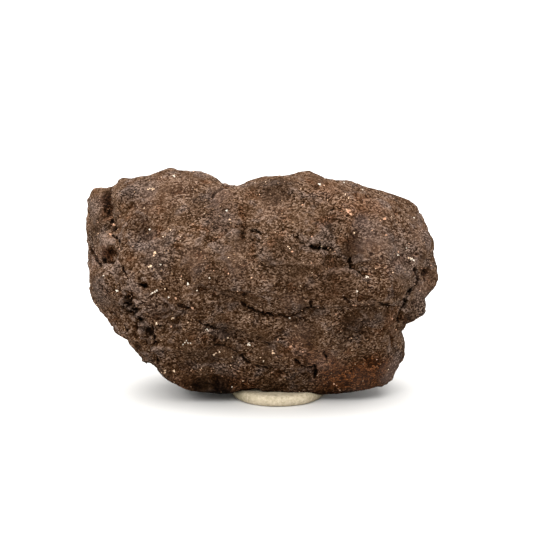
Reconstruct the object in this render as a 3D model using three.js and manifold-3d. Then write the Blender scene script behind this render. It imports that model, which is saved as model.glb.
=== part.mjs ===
// A fragment of a stony meteorite, resting on a small round pad of mounting putty.
//
// The fragment is a single stone, longer than it is tall: a blocky main mass with
// a narrow lobe standing off its left end behind an open cleft, an overhanging
// shoulder at its right end, a saddle between two humps along the top, and a
// lower front that is undercut below a long ragged ledge. It leans back a little
// on its pad, so its broad face looks slightly up.
//
// Millimetres. +X runs along the length, +Y away from the broad face, +Z up.
// The origin is the centre of the pad's underside.
import * as THREE from 'three';
import { mergeVertices } from 'three/addons/utils/BufferGeometryUtils.js';
import { ImprovedNoise } from 'three/addons/math/ImprovedNoise.js';
import Module from 'manifold-3d';

const { clamp, degToRad, smoothstep } = THREE.MathUtils;

// ---- Driving dimensions ----

// The stone is shaped standing straight, with its broad face square to Y, and
// then placed: leaned back by LEAN and brought forward over the pad by SHIFT.
const LEAN = degToRad( 13 );
const SHIFT = 3.5;

// The heart is the point inside the stone that its contour is drawn round.
const HEART = new THREE.Vector3( - 3.2, 0, 22.6 );
const FRONT_DEPTH = 19; // from the heart to the broad face
const BACK_DEPTH = 21; // from the heart to the far side
const BOXINESS = 2.5; // 2 is an ellipsoid, larger is squarer

const PAD_RADIUS = 9.5;
const PAD_HEIGHT = 2.2;
const PAD_EDGE = 1.0; // radius of the pad's rounded rim
const PAD_SIDES = 48;
const PRESS_GAP = 0.3; // between the stone and the dent it has pressed in the pad

// The contour of the broad face, as [ x, z ], anticlockwise from the right end
// of the foot, with every knob and notch that stands out against the light.
const CONTOUR = [
	[ 19.4, 1.5 ], [ 21.2, 1.8 ], [ 22.5, 2.6 ], [ 23.6, 4.8 ], [ 25.0, 8.0 ],
	[ 25.4, 10.6 ], [ 24.6, 12.6 ], [ 23.9, 13.9 ], [ 26.3, 14.2 ], [ 28.2, 15.4 ],
	[ 29.5, 16.7 ], [ 29.4, 19.4 ], [ 31.2, 21.1 ], [ 32.1, 23.0 ], [ 32.1, 26.2 ],
	[ 31.1, 28.8 ], [ 31.2, 30.9 ], [ 30.1, 32.9 ], [ 28.6, 35.5 ], [ 27.9, 37.6 ],
	[ 26.1, 38.7 ], [ 22.2, 40.2 ], [ 18.0, 41.0 ], [ 16.0, 42.1 ], [ 13.7, 42.6 ],
	[ 11.9, 42.2 ], [ 9.0, 43.2 ], [ 7.1, 44.6 ], [ 5.6, 45.0 ], [ 3.6, 43.4 ],
	[ - 1.2, 43.1 ], [ - 3.4, 43.1 ], [ - 4.8, 42.3 ], [ - 6.2, 42.9 ], [ - 8.8, 40.7 ],
	[ - 10.4, 42.1 ], [ - 12.2, 43.3 ], [ - 15.2, 44.4 ], [ - 19.4, 44.6 ],
	[ - 21.0, 45.1 ], [ - 25.0, 44.2 ], [ - 26.9, 42.9 ], [ - 30.4, 43.5 ],
	[ - 31.8, 42.8 ], [ - 32.6, 41.0 ], [ - 34.2, 41.4 ], [ - 35.8, 42.0 ],
	[ - 37.9, 40.1 ], [ - 38.6, 36.0 ], [ - 38.4, 31.6 ], [ - 37.6, 28.9 ],
	[ - 38.3, 27.6 ], [ - 36.9, 22.5 ], [ - 36.9, 19.7 ], [ - 35.8, 17.3 ],
	[ - 33.6, 15.4 ], [ - 32.8, 13.4 ], [ - 30.8, 11.8 ], [ - 28.4, 10.1 ],
	[ - 26.4, 6.9 ], [ - 24.2, 6.6 ], [ - 23.8, 5.2 ], [ - 22.0, 2.9 ],
	[ - 19.0, 1.9 ], [ - 16.6, 0.9 ], [ - 10.0, 0.5 ], [ - 4.0, 1.1 ],
	[ 4.0, 0.6 ], [ 12.0, 0.3 ], [ 16.6, 1.4 ],
];

// Broken faces. Each is a plane square to `facing`, `reach` from the heart;
// `bite` is the share of what stands beyond it that has come away.
const BROKEN_FACES = [
	{ facing: [ 0, - 0.86, 0.5 ], reach: 19.6, bite: 0.8 },
	{ facing: [ 0.05, - 0.8, - 0.6 ], reach: 15.6, bite: 0.9 },
	{ facing: [ 0.62, - 0.72, 0.3 ], reach: 27.5, bite: 0.7 },
	{ facing: [ 0.78, - 0.5, - 0.38 ], reach: 27.0, bite: 0.85 },
	{ facing: [ - 0.7, - 0.62, - 0.35 ], reach: 27.5, bite: 0.85 },
	{ facing: [ - 0.35, - 0.75, 0.56 ], reach: 26.0, bite: 0.7 },
	{ facing: [ 0.28, 0.9, 0.33 ], reach: 19.0, bite: 0.85 },
	{ facing: [ - 0.5, 0.8, 0.33 ], reach: 23.5, bite: 0.85 },
	{ facing: [ 0.1, 0.7, - 0.7 ], reach: 18.5, bite: 0.85 },
	{ facing: [ 0.85, 0.5, 0.15 ], reach: 27.0, bite: 0.8 },
	{ facing: [ - 0.8, 0.55, - 0.25 ], reach: 29.0, bite: 0.8 },
	{ facing: [ 0.05, 0.45, 0.89 ], reach: 20.5, bite: 0.7 },
];

// Rounded swellings and hollows. `at` is [ x, z ]; a negative rise is a hollow.
const SWELLINGS = [
	{ side: 'front', at: [ - 36.0, 35.0 ], radius: 6.0, rise: - 2.2 }, // standing lobe, set back
	{ side: 'front', at: [ - 33.8, 31.2 ], radius: 1.8, rise: 1.4 }, // knob in the cleft
	{ side: 'front', at: [ - 34.2, 27.6 ], radius: 1.5, rise: - 1.8 }, // pocket under it
	{ side: 'front', at: [ - 25.6, 18.2 ], radius: 4.0, rise: 1.5 },
	{ side: 'front', at: [ - 34.0, 21.5 ], radius: 4.5, rise: 0.8 },
	{ side: 'front', at: [ - 27.5, 22.3 ], radius: 1.6, rise: - 0.9 },
	{ side: 'front', at: [ - 29.5, 17.0 ], radius: 2.4, rise: - 1.5 },
	{ side: 'front', at: [ - 26.0, 12.8 ], radius: 2.0, rise: - 1.4 },
	{ side: 'front', at: [ - 26.0, 8.3 ], radius: 3.0, rise: 0.9 },
	{ side: 'front', at: [ - 20.0, 36.0 ], radius: 7.5, rise: 0.8 },
	{ side: 'front', at: [ - 3.0, 36.5 ], radius: 8.0, rise: 0.9 },
	{ side: 'front', at: [ 9.0, 34.5 ], radius: 5.0, rise: 1.2 },
	{ side: 'front', at: [ 20.5, 32.5 ], radius: 5.5, rise: 1.1 },
	{ side: 'front', at: [ 16.5, 30.0 ], radius: 2.4, rise: - 0.9 },
	{ side: 'front', at: [ 22.0, 22.5 ], radius: 5.0, rise: 0.7 },
	{ side: 'front', at: [ - 2.0, 24.5 ], radius: 8.0, rise: 0.7 },
	{ side: 'front', at: [ - 6.8, 32.4 ], radius: 1.7, rise: - 0.9 },
	{ side: 'front', at: [ - 11.0, 7.8 ], radius: 3.4, rise: 0.9 },
	{ side: 'front', at: [ - 18.5, 10.5 ], radius: 4.5, rise: 0.8 },
	{ side: 'front', at: [ 6.5, 9.0 ], radius: 4.5, rise: 0.9 },
	{ side: 'front', at: [ 16.0, 8.5 ], radius: 6.0, rise: 0.8 },
	{ side: 'front', at: [ 28.6, 23.5 ], radius: 1.9, rise: - 1.2 },
	{ side: 'back', at: [ 14.0, 32.0 ], radius: 8.0, rise: 1.8 },
	{ side: 'back', at: [ - 8.0, 26.0 ], radius: 5.5, rise: - 2.2 },
	{ side: 'back', at: [ - 24.0, 34.0 ], radius: 7.0, rise: 1.8 },
	{ side: 'back', at: [ - 26.0, 17.0 ], radius: 6.0, rise: 1.4 },
	{ side: 'back', at: [ 4.0, 13.0 ], radius: 7.0, rise: 1.4 },
	{ side: 'back', at: [ 19.0, 18.0 ], radius: 4.0, rise: - 1.6 },
	{ side: 'back', at: [ - 13.0, 39.0 ], radius: 3.5, rise: - 1.3 },
	{ side: 'back', at: [ 1.0, 36.0 ], radius: 3.0, rise: - 1.1 },
];

// Clefts and cracks, each followed along `path` as [ x, z ] points. `lip` is how
// far the stone on the left hand of the path stands out over the stone on its right.
const CLEFTS = [
	// The cleft that sets the standing lobe off the left end, from the rim down.
	{ side: 'front', width: 0.9, depth: 2.4, lip: 2.0,
		path: [ [ - 32.8, 42.5 ], [ - 33.2, 38.5 ], [ - 33.3, 35.2 ], [ - 32.6, 32.6 ],
			[ - 31.6, 30.2 ], [ - 32.4, 27.6 ], [ - 34.4, 26.8 ], [ - 35.6, 26.6 ] ] },
	{ side: 'front', width: 0.9, depth: 1.4, lip: 0.6,
		path: [ [ - 38.6, 29.0 ], [ - 37.4, 28.4 ], [ - 36.3, 26.8 ], [ - 35.2, 25.8 ] ] },
	// The furrow down the left end, past the raised boss.
	{ side: 'front', width: 0.9, depth: 0.9, lip: 0.9,
		path: [ [ - 31.6, 26.4 ], [ - 30.6, 23.0 ], [ - 30.2, 19.4 ], [ - 28.9, 16.4 ],
			[ - 26.6, 14.0 ], [ - 24.7, 11.0 ], [ - 24.4, 7.6 ], [ - 24.4, 5.6 ] ] },
	{ side: 'front', width: 0.8, depth: 1.0, lip: - 0.4,
		path: [ [ - 25.4, 13.4 ], [ - 22.6, 13.7 ], [ - 20.4, 14.0 ], [ - 18.6, 15.4 ] ] },
	{ side: 'front', width: 0.8, depth: 0.9, lip: 0.4,
		path: [ [ - 24.2, 21.0 ], [ - 21.6, 18.4 ], [ - 19.2, 17.0 ], [ - 16.4, 16.0 ] ] },
	// The overhung crack in the upper right of the broad face.
	{ side: 'front', width: 0.8, depth: 2.0, lip: 1.5,
		path: [ [ 3.4, 32.2 ], [ 4.9, 30.7 ], [ 7.4, 29.8 ], [ 11.0, 29.3 ], [ 12.8, 28.3 ],
			[ 14.2, 27.2 ], [ 14.9, 25.6 ], [ 16.6, 24.7 ], [ 18.4, 23.6 ] ] },
	{ side: 'front', width: 0.8, depth: 0.9, lip: 0.7,
		path: [ [ - 8.4, 32.9 ], [ - 6.4, 33.0 ], [ - 3.8, 32.4 ], [ - 1.4, 31.6 ], [ 0.8, 32.0 ],
			[ 3.4, 32.2 ] ] },
	{ side: 'front', width: 0.6, depth: 0.8, lip: 0.3,
		path: [ [ 10.4, 38.3 ], [ 12.2, 37.7 ], [ 13.6, 36.2 ], [ 15.4, 35.6 ] ] },
	// The long ragged ledge that the lower front is undercut below.
	{ side: 'front', width: 0.9, depth: 1.6, lip: 1.1,
		path: [ [ - 15.6, 22.0 ], [ - 12.0, 20.2 ], [ - 8.8, 19.0 ], [ - 6.2, 17.7 ],
			[ - 2.2, 16.2 ], [ 1.6, 15.7 ], [ 4.4, 16.6 ], [ 6.6, 17.7 ], [ 10.6, 17.4 ],
			[ 14.8, 17.6 ], [ 19.0, 18.5 ], [ 21.4, 18.3 ], [ 24.2, 17.4 ] ] },
	{ side: 'front', width: 0.8, depth: 1.0, lip: 0.7,
		path: [ [ 13.2, 19.3 ], [ 14.8, 18.4 ], [ 17.4, 18.2 ] ] },
	{ side: 'front', width: 0.9, depth: 1.2, lip: 0.9,
		path: [ [ - 17.2, 15.0 ], [ - 14.4, 14.3 ], [ - 12.0, 13.6 ], [ - 8.6, 12.2 ],
			[ - 5.6, 11.1 ], [ - 2.8, 10.3 ], [ 0.4, 10.6 ] ] },
	{ side: 'front', width: 0.8, depth: 0.9, lip: - 0.5,
		path: [ [ - 24.0, 6.6 ], [ - 19.6, 7.0 ], [ - 15.2, 7.3 ], [ - 13.6, 8.7 ],
			[ - 11.6, 9.9 ], [ - 9.6, 9.5 ], [ - 7.4, 7.6 ], [ - 5.0, 5.4 ], [ - 1.6, 4.8 ],
			[ 3.4, 4.9 ] ] },
	{ side: 'front', width: 0.9, depth: 1.5, lip: 0.7,
		path: [ [ 2.4, 8.6 ], [ 3.9, 6.8 ], [ 5.8, 5.7 ], [ 7.4, 5.8 ], [ 7.4, 4.4 ], [ 7.0, 3.4 ] ] },
	{ side: 'front', width: 0.7, depth: 0.9, lip: 0,
		path: [ [ 9.4, 8.8 ], [ 9.9, 7.4 ], [ 10.1, 6.4 ] ] },
	{ side: 'front', width: 0.8, depth: 0.7, lip: 0.5,
		path: [ [ 11.4, 6.6 ], [ 14.6, 6.9 ], [ 18.0, 6.2 ], [ 20.6, 7.0 ] ] },
	// The cleft behind the overhanging shoulder at the right end.
	{ side: 'front', width: 0.9, depth: 1.5, lip: - 1.2,
		path: [ [ 31.2, 29.2 ], [ 30.4, 27.4 ], [ 28.2, 25.2 ], [ 27.6, 22.8 ], [ 26.2, 20.6 ],
			[ 25.2, 18.6 ], [ 24.0, 16.4 ], [ 24.0, 13.8 ] ] },
	// The edge of the smoother broken face at the lower right.
	{ side: 'front', width: 0.9, depth: 0.5, lip: 0.5,
		path: [ [ 24.6, 8.6 ], [ 22.8, 6.8 ], [ 22.4, 4.2 ], [ 20.8, 2.2 ], [ 17.6, 1.2 ] ] },
	// The shallow valley down from the saddle.
	{ side: 'front', width: 2.4, depth: 1.5, lip: 0,
		path: [ [ - 8.6, 46.0 ], [ - 9.0, 43.5 ], [ - 10.4, 41.2 ], [ - 13.0, 39.4 ], [ - 15.0, 36.8 ] ] },
	{ side: 'front', width: 1.0, depth: 0.6, lip: - 0.4,
		path: [ [ - 31.4, 37.6 ], [ - 28.6, 38.7 ], [ - 25.6, 38.0 ], [ - 23.6, 36.0 ], [ - 22.6, 33.8 ] ] },
	// The far side.
	{ side: 'back', width: 1.6, depth: 2.4, lip: 1.0,
		path: [ [ - 32.8, 42.5 ], [ - 31.4, 36.0 ], [ - 32.4, 29.0 ], [ - 30.0, 23.0 ] ] },
	{ side: 'back', width: 1.2, depth: 1.8, lip: 1.4,
		path: [ [ - 22.0, 27.0 ], [ - 15.0, 22.0 ], [ - 8.0, 20.5 ], [ 0.0, 22.5 ], [ 8.0, 21.0 ],
			[ 15.0, 23.5 ], [ 22.0, 22.0 ] ] },
	{ side: 'back', width: 2.6, depth: 1.7, lip: 0,
		path: [ [ - 9.4, 46.0 ], [ - 9.0, 43.5 ], [ - 7.0, 38.0 ], [ - 2.0, 33.0 ], [ 1.0, 28.0 ] ] },
	{ side: 'back', width: 1.0, depth: 1.5, lip: 0.8,
		path: [ [ 24.0, 13.8 ], [ 20.0, 13.0 ], [ 14.0, 9.5 ], [ 8.0, 9.0 ] ] },
	{ side: 'back', width: 0.9, depth: 1.2, lip: 0.7,
		path: [ [ - 22.0, 11.0 ], [ - 15.0, 12.5 ], [ - 9.0, 10.0 ], [ - 3.0, 11.0 ] ] },
	{ side: 'back', width: 0.9, depth: 1.2, lip: 0.8,
		path: [ [ 8.0, 37.0 ], [ 13.0, 35.0 ], [ 19.0, 35.5 ], [ 25.0, 33.0 ] ] },
];

// ---- Body: the contour swollen into a squarish lump, front and back ----

const TURN = 2 * Math.PI;
const HARMONICS = 90; // waves round the contour, enough for its smallest knob
const BLUR = 0.2; // radians that its knobs are blurred by, once clear of the rim
const BLUR_ROOM = 0.7; // how far from the rim that is, as a share of the half depth
const RIM_ROOM = 0.25; // how near the rim a broken face leaves the contour whole

// The contour as a distance from the heart at each angle, kept as a Fourier
// series, so that its fine knobs can be faded out away from the rim.
function contourSeries() {

	const curve = new THREE.SplineCurve( CONTOUR.map( ( [ x, z ] ) => new THREE.Vector2( x, z ) ) );
	curve.points.push( curve.points[ 0 ] );
	const centre = new THREE.Vector2( HEART.x, HEART.z );
	const rim = curve.getPoints( 12 * CONTOUR.length )
		.map( ( p ) => p.sub( centre ) )
		.map( ( p ) => ( { angle: ( p.angle() + TURN ) % TURN, reach: p.length() } ) )
		.sort( ( a, b ) => a.angle - b.angle );

	const samples = 4 * HARMONICS;
	const reaches = [];
	for ( let i = 0, j = 0; i < samples; i ++ ) {

		const angle = TURN * i / samples;
		while ( j < rim.length && rim[ j ].angle < angle ) j ++;
		const before = rim[ ( j + rim.length - 1 ) % rim.length ];
		const after = rim[ j % rim.length ];
		const gap = ( after.angle - before.angle + TURN ) % TURN || 1;
		const share = ( ( angle - before.angle + TURN ) % TURN ) / gap;
		reaches.push( before.reach + ( after.reach - before.reach ) * share );

	}

	return Array.from( { length: HARMONICS }, ( _, k ) => {

		const wave = { cos: 0, sin: 0 };
		reaches.forEach( ( reach, i ) => {

			const weight = ( k === 0 ? 1 : 2 ) / samples;
			wave.cos += weight * reach * Math.cos( k * TURN * i / samples );
			wave.sin += weight * reach * Math.sin( k * TURN * i / samples );

		} );
		return wave;

	} );

}

const SERIES = contourSeries();

// Distance from the heart to the contour at an angle, its knobs blurred by `blur` radians.
function contourReach( angle, blur ) {

	return SERIES.reduce( ( sum, { cos, sin }, k ) =>
		sum + Math.exp( - ( ( k * blur ) ** 2 ) )
			* ( cos * Math.cos( k * angle ) + sin * Math.sin( k * angle ) ), 0 );

}

// The point of the body in a direction from the heart, before any relief.
function bodyPoint( direction ) {

	const { x, y, z } = direction;
	const inPlane = Math.hypot( x, z );
	const blur = BLUR * smoothstep( Math.abs( y ), 0, BLUR_ROOM );
	const reach = contourReach( Math.atan2( z, x ), blur );
	const depth = y < 0 ? FRONT_DEPTH : BACK_DEPTH;
	const swell = ( inPlane ** BOXINESS + Math.abs( y ) ** BOXINESS ) ** ( - 1 / BOXINESS );
	const point = new THREE.Vector3( x * reach, y * depth, z * reach ).multiplyScalar( swell );

	const clear = smoothstep( Math.abs( y ), 0, RIM_ROOM );
	for ( const { facing, reach: stop, bite } of BROKEN_FACES ) {

		const outward = new THREE.Vector3( ...facing ).normalize();
		const beyond = point.dot( outward ) - stop;
		if ( beyond > 0 ) point.addScaledVector( outward, - beyond * bite * clear );

	}

	return point.add( HEART );

}

// ---- Relief: what stands out from the body or is cut into it ----

const SIDE_FADE = 4; // how far in from the rim a mark on one side reaches its full depth

function sideShare( side, y ) {

	return smoothstep( side === 'front' ? - y : y, - 0.25 * SIDE_FADE, SIDE_FADE );

}

function swellingRelief( { side, at, radius, rise }, p ) {

	const away = Math.hypot( p.x - at[ 0 ], p.z - at[ 1 ] ) / radius;
	return rise * Math.exp( - ( away ** 2 ) ) * sideShare( side, p.y );

}

// The nearest place on a path: `away`, positive on the left hand, and the share
// of the path's points passed, 0 to 1.
function placeOnPath( path, x, z ) {

	let best = { away: Infinity, share: 0 };
	for ( let i = 0; i + 1 < path.length; i ++ ) {

		const [ x0, z0 ] = path[ i ];
		const [ dx, dz ] = [ path[ i + 1 ][ 0 ] - x0, path[ i + 1 ][ 1 ] - z0 ];
		const along = clamp( ( ( x - x0 ) * dx + ( z - z0 ) * dz ) / ( dx * dx + dz * dz ), 0, 1 );
		const [ ox, oz ] = [ x - x0 - along * dx, z - z0 - along * dz ];
		const away = Math.hypot( ox, oz );
		if ( away < Math.abs( best.away ) ) {

			const left = dx * oz - dz * ox > 0;
			best = { away: left ? away : - away, share: ( i + along ) / ( path.length - 1 ) };

		}

	}

	return best;

}

const LIP_REACH = 4; // how far back from a crack its lip sinks into the body
const LIP_SHARE = 0.35; // the share of a lip that is sunk side rather than raised side
const TAPER = 0.12; // the share of a cleft's path over which either end dies away

function cleftRelief( { side, width, depth, lip, path }, p ) {

	const { away, share } = placeOnPath( path, p.x, p.z );
	const taper = smoothstep( share, - TAPER / 3, TAPER )
		* ( 1 - smoothstep( share, 1 - TAPER, 1 + TAPER / 3 ) );
	const cut = - depth * Math.exp( - ( ( away / width ) ** 2 ) );
	const step = lip * ( smoothstep( away, - width, width ) - LIP_SHARE )
		* Math.exp( - Math.abs( away ) / LIP_REACH );
	return ( cut + step ) * taper * sideShare( side, p.y );

}

const perlin = new ImprovedNoise();
const OCTAVE_SHARE = 0.55; // the height of each wave as a share of the one before
const OCTAVE_OFFSET = 7, NOISE_Y = 31, NOISE_Z = 53; // a part of the noise that suits

// Waves of several sizes, each half as long as the last and lower.
function roughness( p, wavelength, octaves ) {

	let sum = 0;
	for ( let i = 0, height = 1; i < octaves; i ++, height *= OCTAVE_SHARE ) {

		const scale = 2 ** i / wavelength;
		sum += height * perlin.noise(
			p.x * scale + OCTAVE_OFFSET * i, p.y * scale + NOISE_Y, p.z * scale + NOISE_Z );

	}

	return sum;

}

const LUMP_WAVE = 13, LUMP_HEIGHT = 1.9;
const GRAIN_WAVE = 4.2, GRAIN_HEIGHT = 1.0;
const BED_SPACING = 4.6, BED_STEP = 0.5; // worn edges of the stone's layers
const BED_TREAD = 0.75; // the share of a layer that slopes gently, before its riser
const BED_DIP = 0.12; // how far the layers fall, mm for each mm along the stone
const BED_BEND = 2.2, BED_BEND_WAVE = 18;

// The layers weather into low steps: slow treads with short risers between them.
function bedding( p ) {

	const bend = BED_BEND * roughness( p, BED_BEND_WAVE, 2 );
	const level = ( p.z + BED_DIP * p.x + bend ) / BED_SPACING;
	const passed = level - Math.floor( level );
	const rise = smoothstep( passed, 0, BED_TREAD ) - smoothstep( passed, BED_TREAD, 1 );
	return BED_STEP * ( rise - 0.5 );

}

const RIM_GRAIN = 0.35; // the share of the grain that the rim keeps: it has knobs of its own

// Height over the body at a point; `inward` is 0 on the rim and 1 well clear of it.
function relief( p, inward ) {

	let height = inward * LUMP_HEIGHT * roughness( p, LUMP_WAVE, 2 );
	height += ( RIM_GRAIN + ( 1 - RIM_GRAIN ) * inward ) * GRAIN_HEIGHT * roughness( p, GRAIN_WAVE, 2 );
	height += inward * bedding( p );
	for ( const swelling of SWELLINGS ) height += swellingRelief( swelling, p );
	for ( const cleft of CLEFTS ) height += cleftRelief( cleft, p );
	return height;

}

// ---- Mesh ----

const BALL_DETAIL = 15; // subdivisions of the icosahedron that the stone is drawn on
const JITTER = 0.035; // how far its corners are moved, so that no regular weave shows
const JITTER_SCALE = 40;
const FINE_EDGE = 1.3; // an edge longer than this is split where there is fine relief
const FINE_RIM = 1.6; // all relief this near the rim is fine
const FINE_DEPTH = 0.85; // and so is a cleft deeper than this
const EASE = 0.4;
const INWARD_FROM = 0.1, INWARD_TO = 0.6; // share of the half depth over which the rim ends

function hasFineRelief( p ) {

	return Math.abs( p.y ) < FINE_RIM || CLEFTS.some( ( { side, width, depth, path } ) =>
		depth > FINE_DEPTH && sideShare( side, p.y ) > 0.2
		&& Math.abs( placeOnPath( path, p.x, p.z ).away ) < width );

}

// Splits each edge that is too long for the relief it crosses, and the triangles
// on either side of it to suit, so the mesh stays closed.
function refine( directions, triangles ) {

	const spots = directions.map( bodyPoint );
	const halves = new Map();
	const halfway = ( a, b ) => {

		const key = a < b ? `${ a } ${ b }` : `${ b } ${ a }`;
		if ( ! halves.has( key ) ) {

			const middle = spots[ a ].clone().lerp( spots[ b ], 0.5 );
			const split = spots[ a ].distanceTo( spots[ b ] ) > FINE_EDGE && hasFineRelief( middle );
			if ( split ) {

				directions.push( directions[ a ].clone().add( directions[ b ] ).normalize() );
				spots.push( bodyPoint( directions[ directions.length - 1 ] ) );

			}

			halves.set( key, split ? directions.length - 1 : null );

		}

		return halves.get( key );

	};

	return triangles.flatMap( ( corners ) => {

		const mids = corners.map( ( c, i ) => halfway( c, corners[ ( i + 1 ) % 3 ] ) );
		const count = mids.filter( ( m ) => m !== null ).length;
		if ( count === 0 ) return [ corners ];

		// Turned so that the first edge is split and, of two, the second as well.
		let turn = mids.findIndex( ( m, i ) => m !== null
			&& ( count !== 2 || mids[ ( i + 1 ) % 3 ] !== null ) );
		turn = Math.max( turn, 0 );
		const [ a, b, c ] = [ 0, 1, 2 ].map( ( i ) => corners[ ( i + turn ) % 3 ] );
		const [ ab, bc, ca ] = [ 0, 1, 2 ].map( ( i ) => mids[ ( i + turn ) % 3 ] );
		if ( count === 1 ) return [ [ a, ab, c ], [ ab, b, c ] ];
		if ( count === 2 ) return [ [ ab, b, bc ], [ a, ab, bc ], [ a, bc, c ] ];
		return [ [ a, ab, ca ], [ ab, b, bc ], [ ca, bc, c ], [ ab, bc, ca ] ];

	} );

}

function jittered( direction ) {

	const { x, y, z } = direction.clone().multiplyScalar( JITTER_SCALE );
	const push = new THREE.Vector3(
		perlin.noise( x, y, z ), perlin.noise( y + 9, z, x ), perlin.noise( z, x + 5, y ) );
	return direction.addScaledVector( push, JITTER ).normalize();

}

function geometryOf( points, triangles ) {

	const geometry = new THREE.BufferGeometry().setFromPoints( points );
	geometry.setIndex( triangles.flat() );
	geometry.computeVertexNormals();
	return geometry;

}

// Each height drawn part of the way to the mean of its neighbours', which takes
// the teeth off steep places without losing the marks themselves.
function eased( heights, triangles ) {

	const sums = heights.map( () => ( { total: 0, count: 0 } ) );
	triangles.forEach( ( corners ) => corners.forEach( ( corner, i ) => {

		sums[ corner ].total += heights[ corners[ ( i + 1 ) % 3 ] ];
		sums[ corner ].count += 1;

	} ) );
	return heights.map( ( height, i ) =>
		height + EASE * ( sums[ i ].total / sums[ i ].count - height ) );

}

function stoneGeometry() {

	const ball = new THREE.IcosahedronGeometry( 1, BALL_DETAIL );
	ball.deleteAttribute( 'normal' );
	ball.deleteAttribute( 'uv' );
	const { index, attributes: { position } } = mergeVertices( ball, 1e-5 );
	const directions = Array.from( { length: position.count },
		( _, i ) => jittered( new THREE.Vector3().fromBufferAttribute( position, i ) ) );
	let triangles = Array.from( { length: index.count / 3 },
		( _, i ) => [ 0, 1, 2 ].map( ( k ) => index.getX( 3 * i + k ) ) );
	triangles = refine( directions, triangles );

	const body = directions.map( bodyPoint );
	const normals = geometryOf( body, triangles ).getAttribute( 'normal' );
	const heights = body.map( ( p, i ) =>
		relief( p, smoothstep( Math.abs( directions[ i ].y ), INWARD_FROM, INWARD_TO ) ) );
	const surface = eased( heights, triangles ).map( ( height, i ) => body[ i ].clone()
		.addScaledVector( new THREE.Vector3().fromBufferAttribute( normals, i ), height ) );
	return geometryOf( surface, triangles );

}

// The whole geometry, leaned back and brought over the pad.
function placeOverPad( geometry ) {

	return geometry.translate( 0, - SHIFT, 0 ).rotateX( - LEAN );

}

// ---- Pad: a low puck with a rounded rim, dented where the stone is pressed in ----

const wasm = await Module();
wasm.setup();

function solidOf( geometry ) {

	const bare = new THREE.BufferGeometry().setIndex( geometry.index );
	bare.setAttribute( 'position', geometry.getAttribute( 'position' ) );
	const merged = mergeVertices( bare, 1e-4 );
	return new wasm.Manifold( new wasm.Mesh( {
		numProp: 3,
		vertProperties: merged.getAttribute( 'position' ).array,
		triVerts: new Uint32Array( merged.index.array ),
	} ) );

}

function geometryFrom( solid ) {

	const { vertProperties, triVerts } = solid.getMesh();
	const geometry = new THREE.BufferGeometry();
	geometry.setAttribute( 'position', new THREE.BufferAttribute( vertProperties, 3 ) );
	geometry.setIndex( new THREE.BufferAttribute( triVerts, 1 ) );
	geometry.computeVertexNormals();
	return geometry;

}

function padGeometry( stone ) {

	const profile = new THREE.Path();
	profile.moveTo( 0, 0 );
	profile.lineTo( PAD_RADIUS - PAD_EDGE, 0 );
	profile.absarc( PAD_RADIUS - PAD_EDGE, PAD_EDGE, PAD_EDGE, - Math.PI / 2, 0 );
	profile.absarc( PAD_RADIUS - PAD_EDGE, PAD_HEIGHT - PAD_EDGE, PAD_EDGE, 0, Math.PI / 2 );
	profile.lineTo( 0, PAD_HEIGHT );
	const puck = new THREE.LatheGeometry( profile.getPoints( 2 ), PAD_SIDES ).rotateX( Math.PI / 2 );
	const lowered = stone.clone().translate( 0, 0, - PRESS_GAP );
	return geometryFrom( solidOf( puck ).subtract( solidOf( lowered ) ) );

}

// ---- The specimen ----

const meteorite = new THREE.MeshStandardMaterial( {
	color: new THREE.Color( 0.36, 0.27, 0.21 ), roughness: 0.85, metalness: 0, flatShading: true } );
const putty = new THREE.MeshStandardMaterial( {
	color: new THREE.Color( 0.78, 0.72, 0.6 ), roughness: 0.9, metalness: 0 } );

const stoneShape = placeOverPad( stoneGeometry() );

const stone = new THREE.Mesh( stoneShape, meteorite );
stone.name = 'stone';

const pad = new THREE.Mesh( padGeometry( stoneShape ), putty );
pad.name = 'putty_pad';

const specimen = new THREE.Group();
specimen.add( stone, pad );

export default specimen;
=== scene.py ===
import math

import bmesh
import bpy
from mathutils import Matrix, Vector, noise
from mathutils.bvhtree import BVHTree
from mathutils.kdtree import KDTree


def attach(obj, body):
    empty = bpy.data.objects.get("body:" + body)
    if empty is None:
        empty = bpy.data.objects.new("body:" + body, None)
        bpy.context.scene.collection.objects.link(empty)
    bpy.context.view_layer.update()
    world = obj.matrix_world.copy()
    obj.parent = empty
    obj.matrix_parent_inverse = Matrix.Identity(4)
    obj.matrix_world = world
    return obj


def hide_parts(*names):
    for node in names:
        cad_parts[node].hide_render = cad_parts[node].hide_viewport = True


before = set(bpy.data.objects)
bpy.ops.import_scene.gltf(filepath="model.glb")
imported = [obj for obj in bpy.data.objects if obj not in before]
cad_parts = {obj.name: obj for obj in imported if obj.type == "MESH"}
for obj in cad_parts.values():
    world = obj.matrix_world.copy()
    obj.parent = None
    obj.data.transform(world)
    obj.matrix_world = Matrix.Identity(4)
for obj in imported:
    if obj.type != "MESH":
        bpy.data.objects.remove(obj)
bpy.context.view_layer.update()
MM = 0.001  # every size below is written in millimetres


# ---- Camera ----
# It faces the stone's broad side from a little above, far enough off that there
# is next to no perspective, and takes in about 107 mm across.
VIEW_ELEVATION = math.radians(13)
VIEW_DISTANCE = 399.75
AIM = Vector((-2.3, 2.37, 25.83))

camera_data = bpy.data.cameras.new("camera")
camera_data.lens = 135
camera_data.sensor_width = 36
camera_data.clip_start = 10 * MM
camera_data.clip_end = 20
camera = bpy.data.objects.new("camera", camera_data)
bpy.context.scene.collection.objects.link(camera)
bpy.context.scene.camera = camera
look = Vector((0, math.cos(VIEW_ELEVATION), -math.sin(VIEW_ELEVATION)))
camera.location = (AIM - look * VIEW_DISTANCE) * MM
camera.rotation_euler = look.to_track_quat("-Z", "Y").to_euler()


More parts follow.
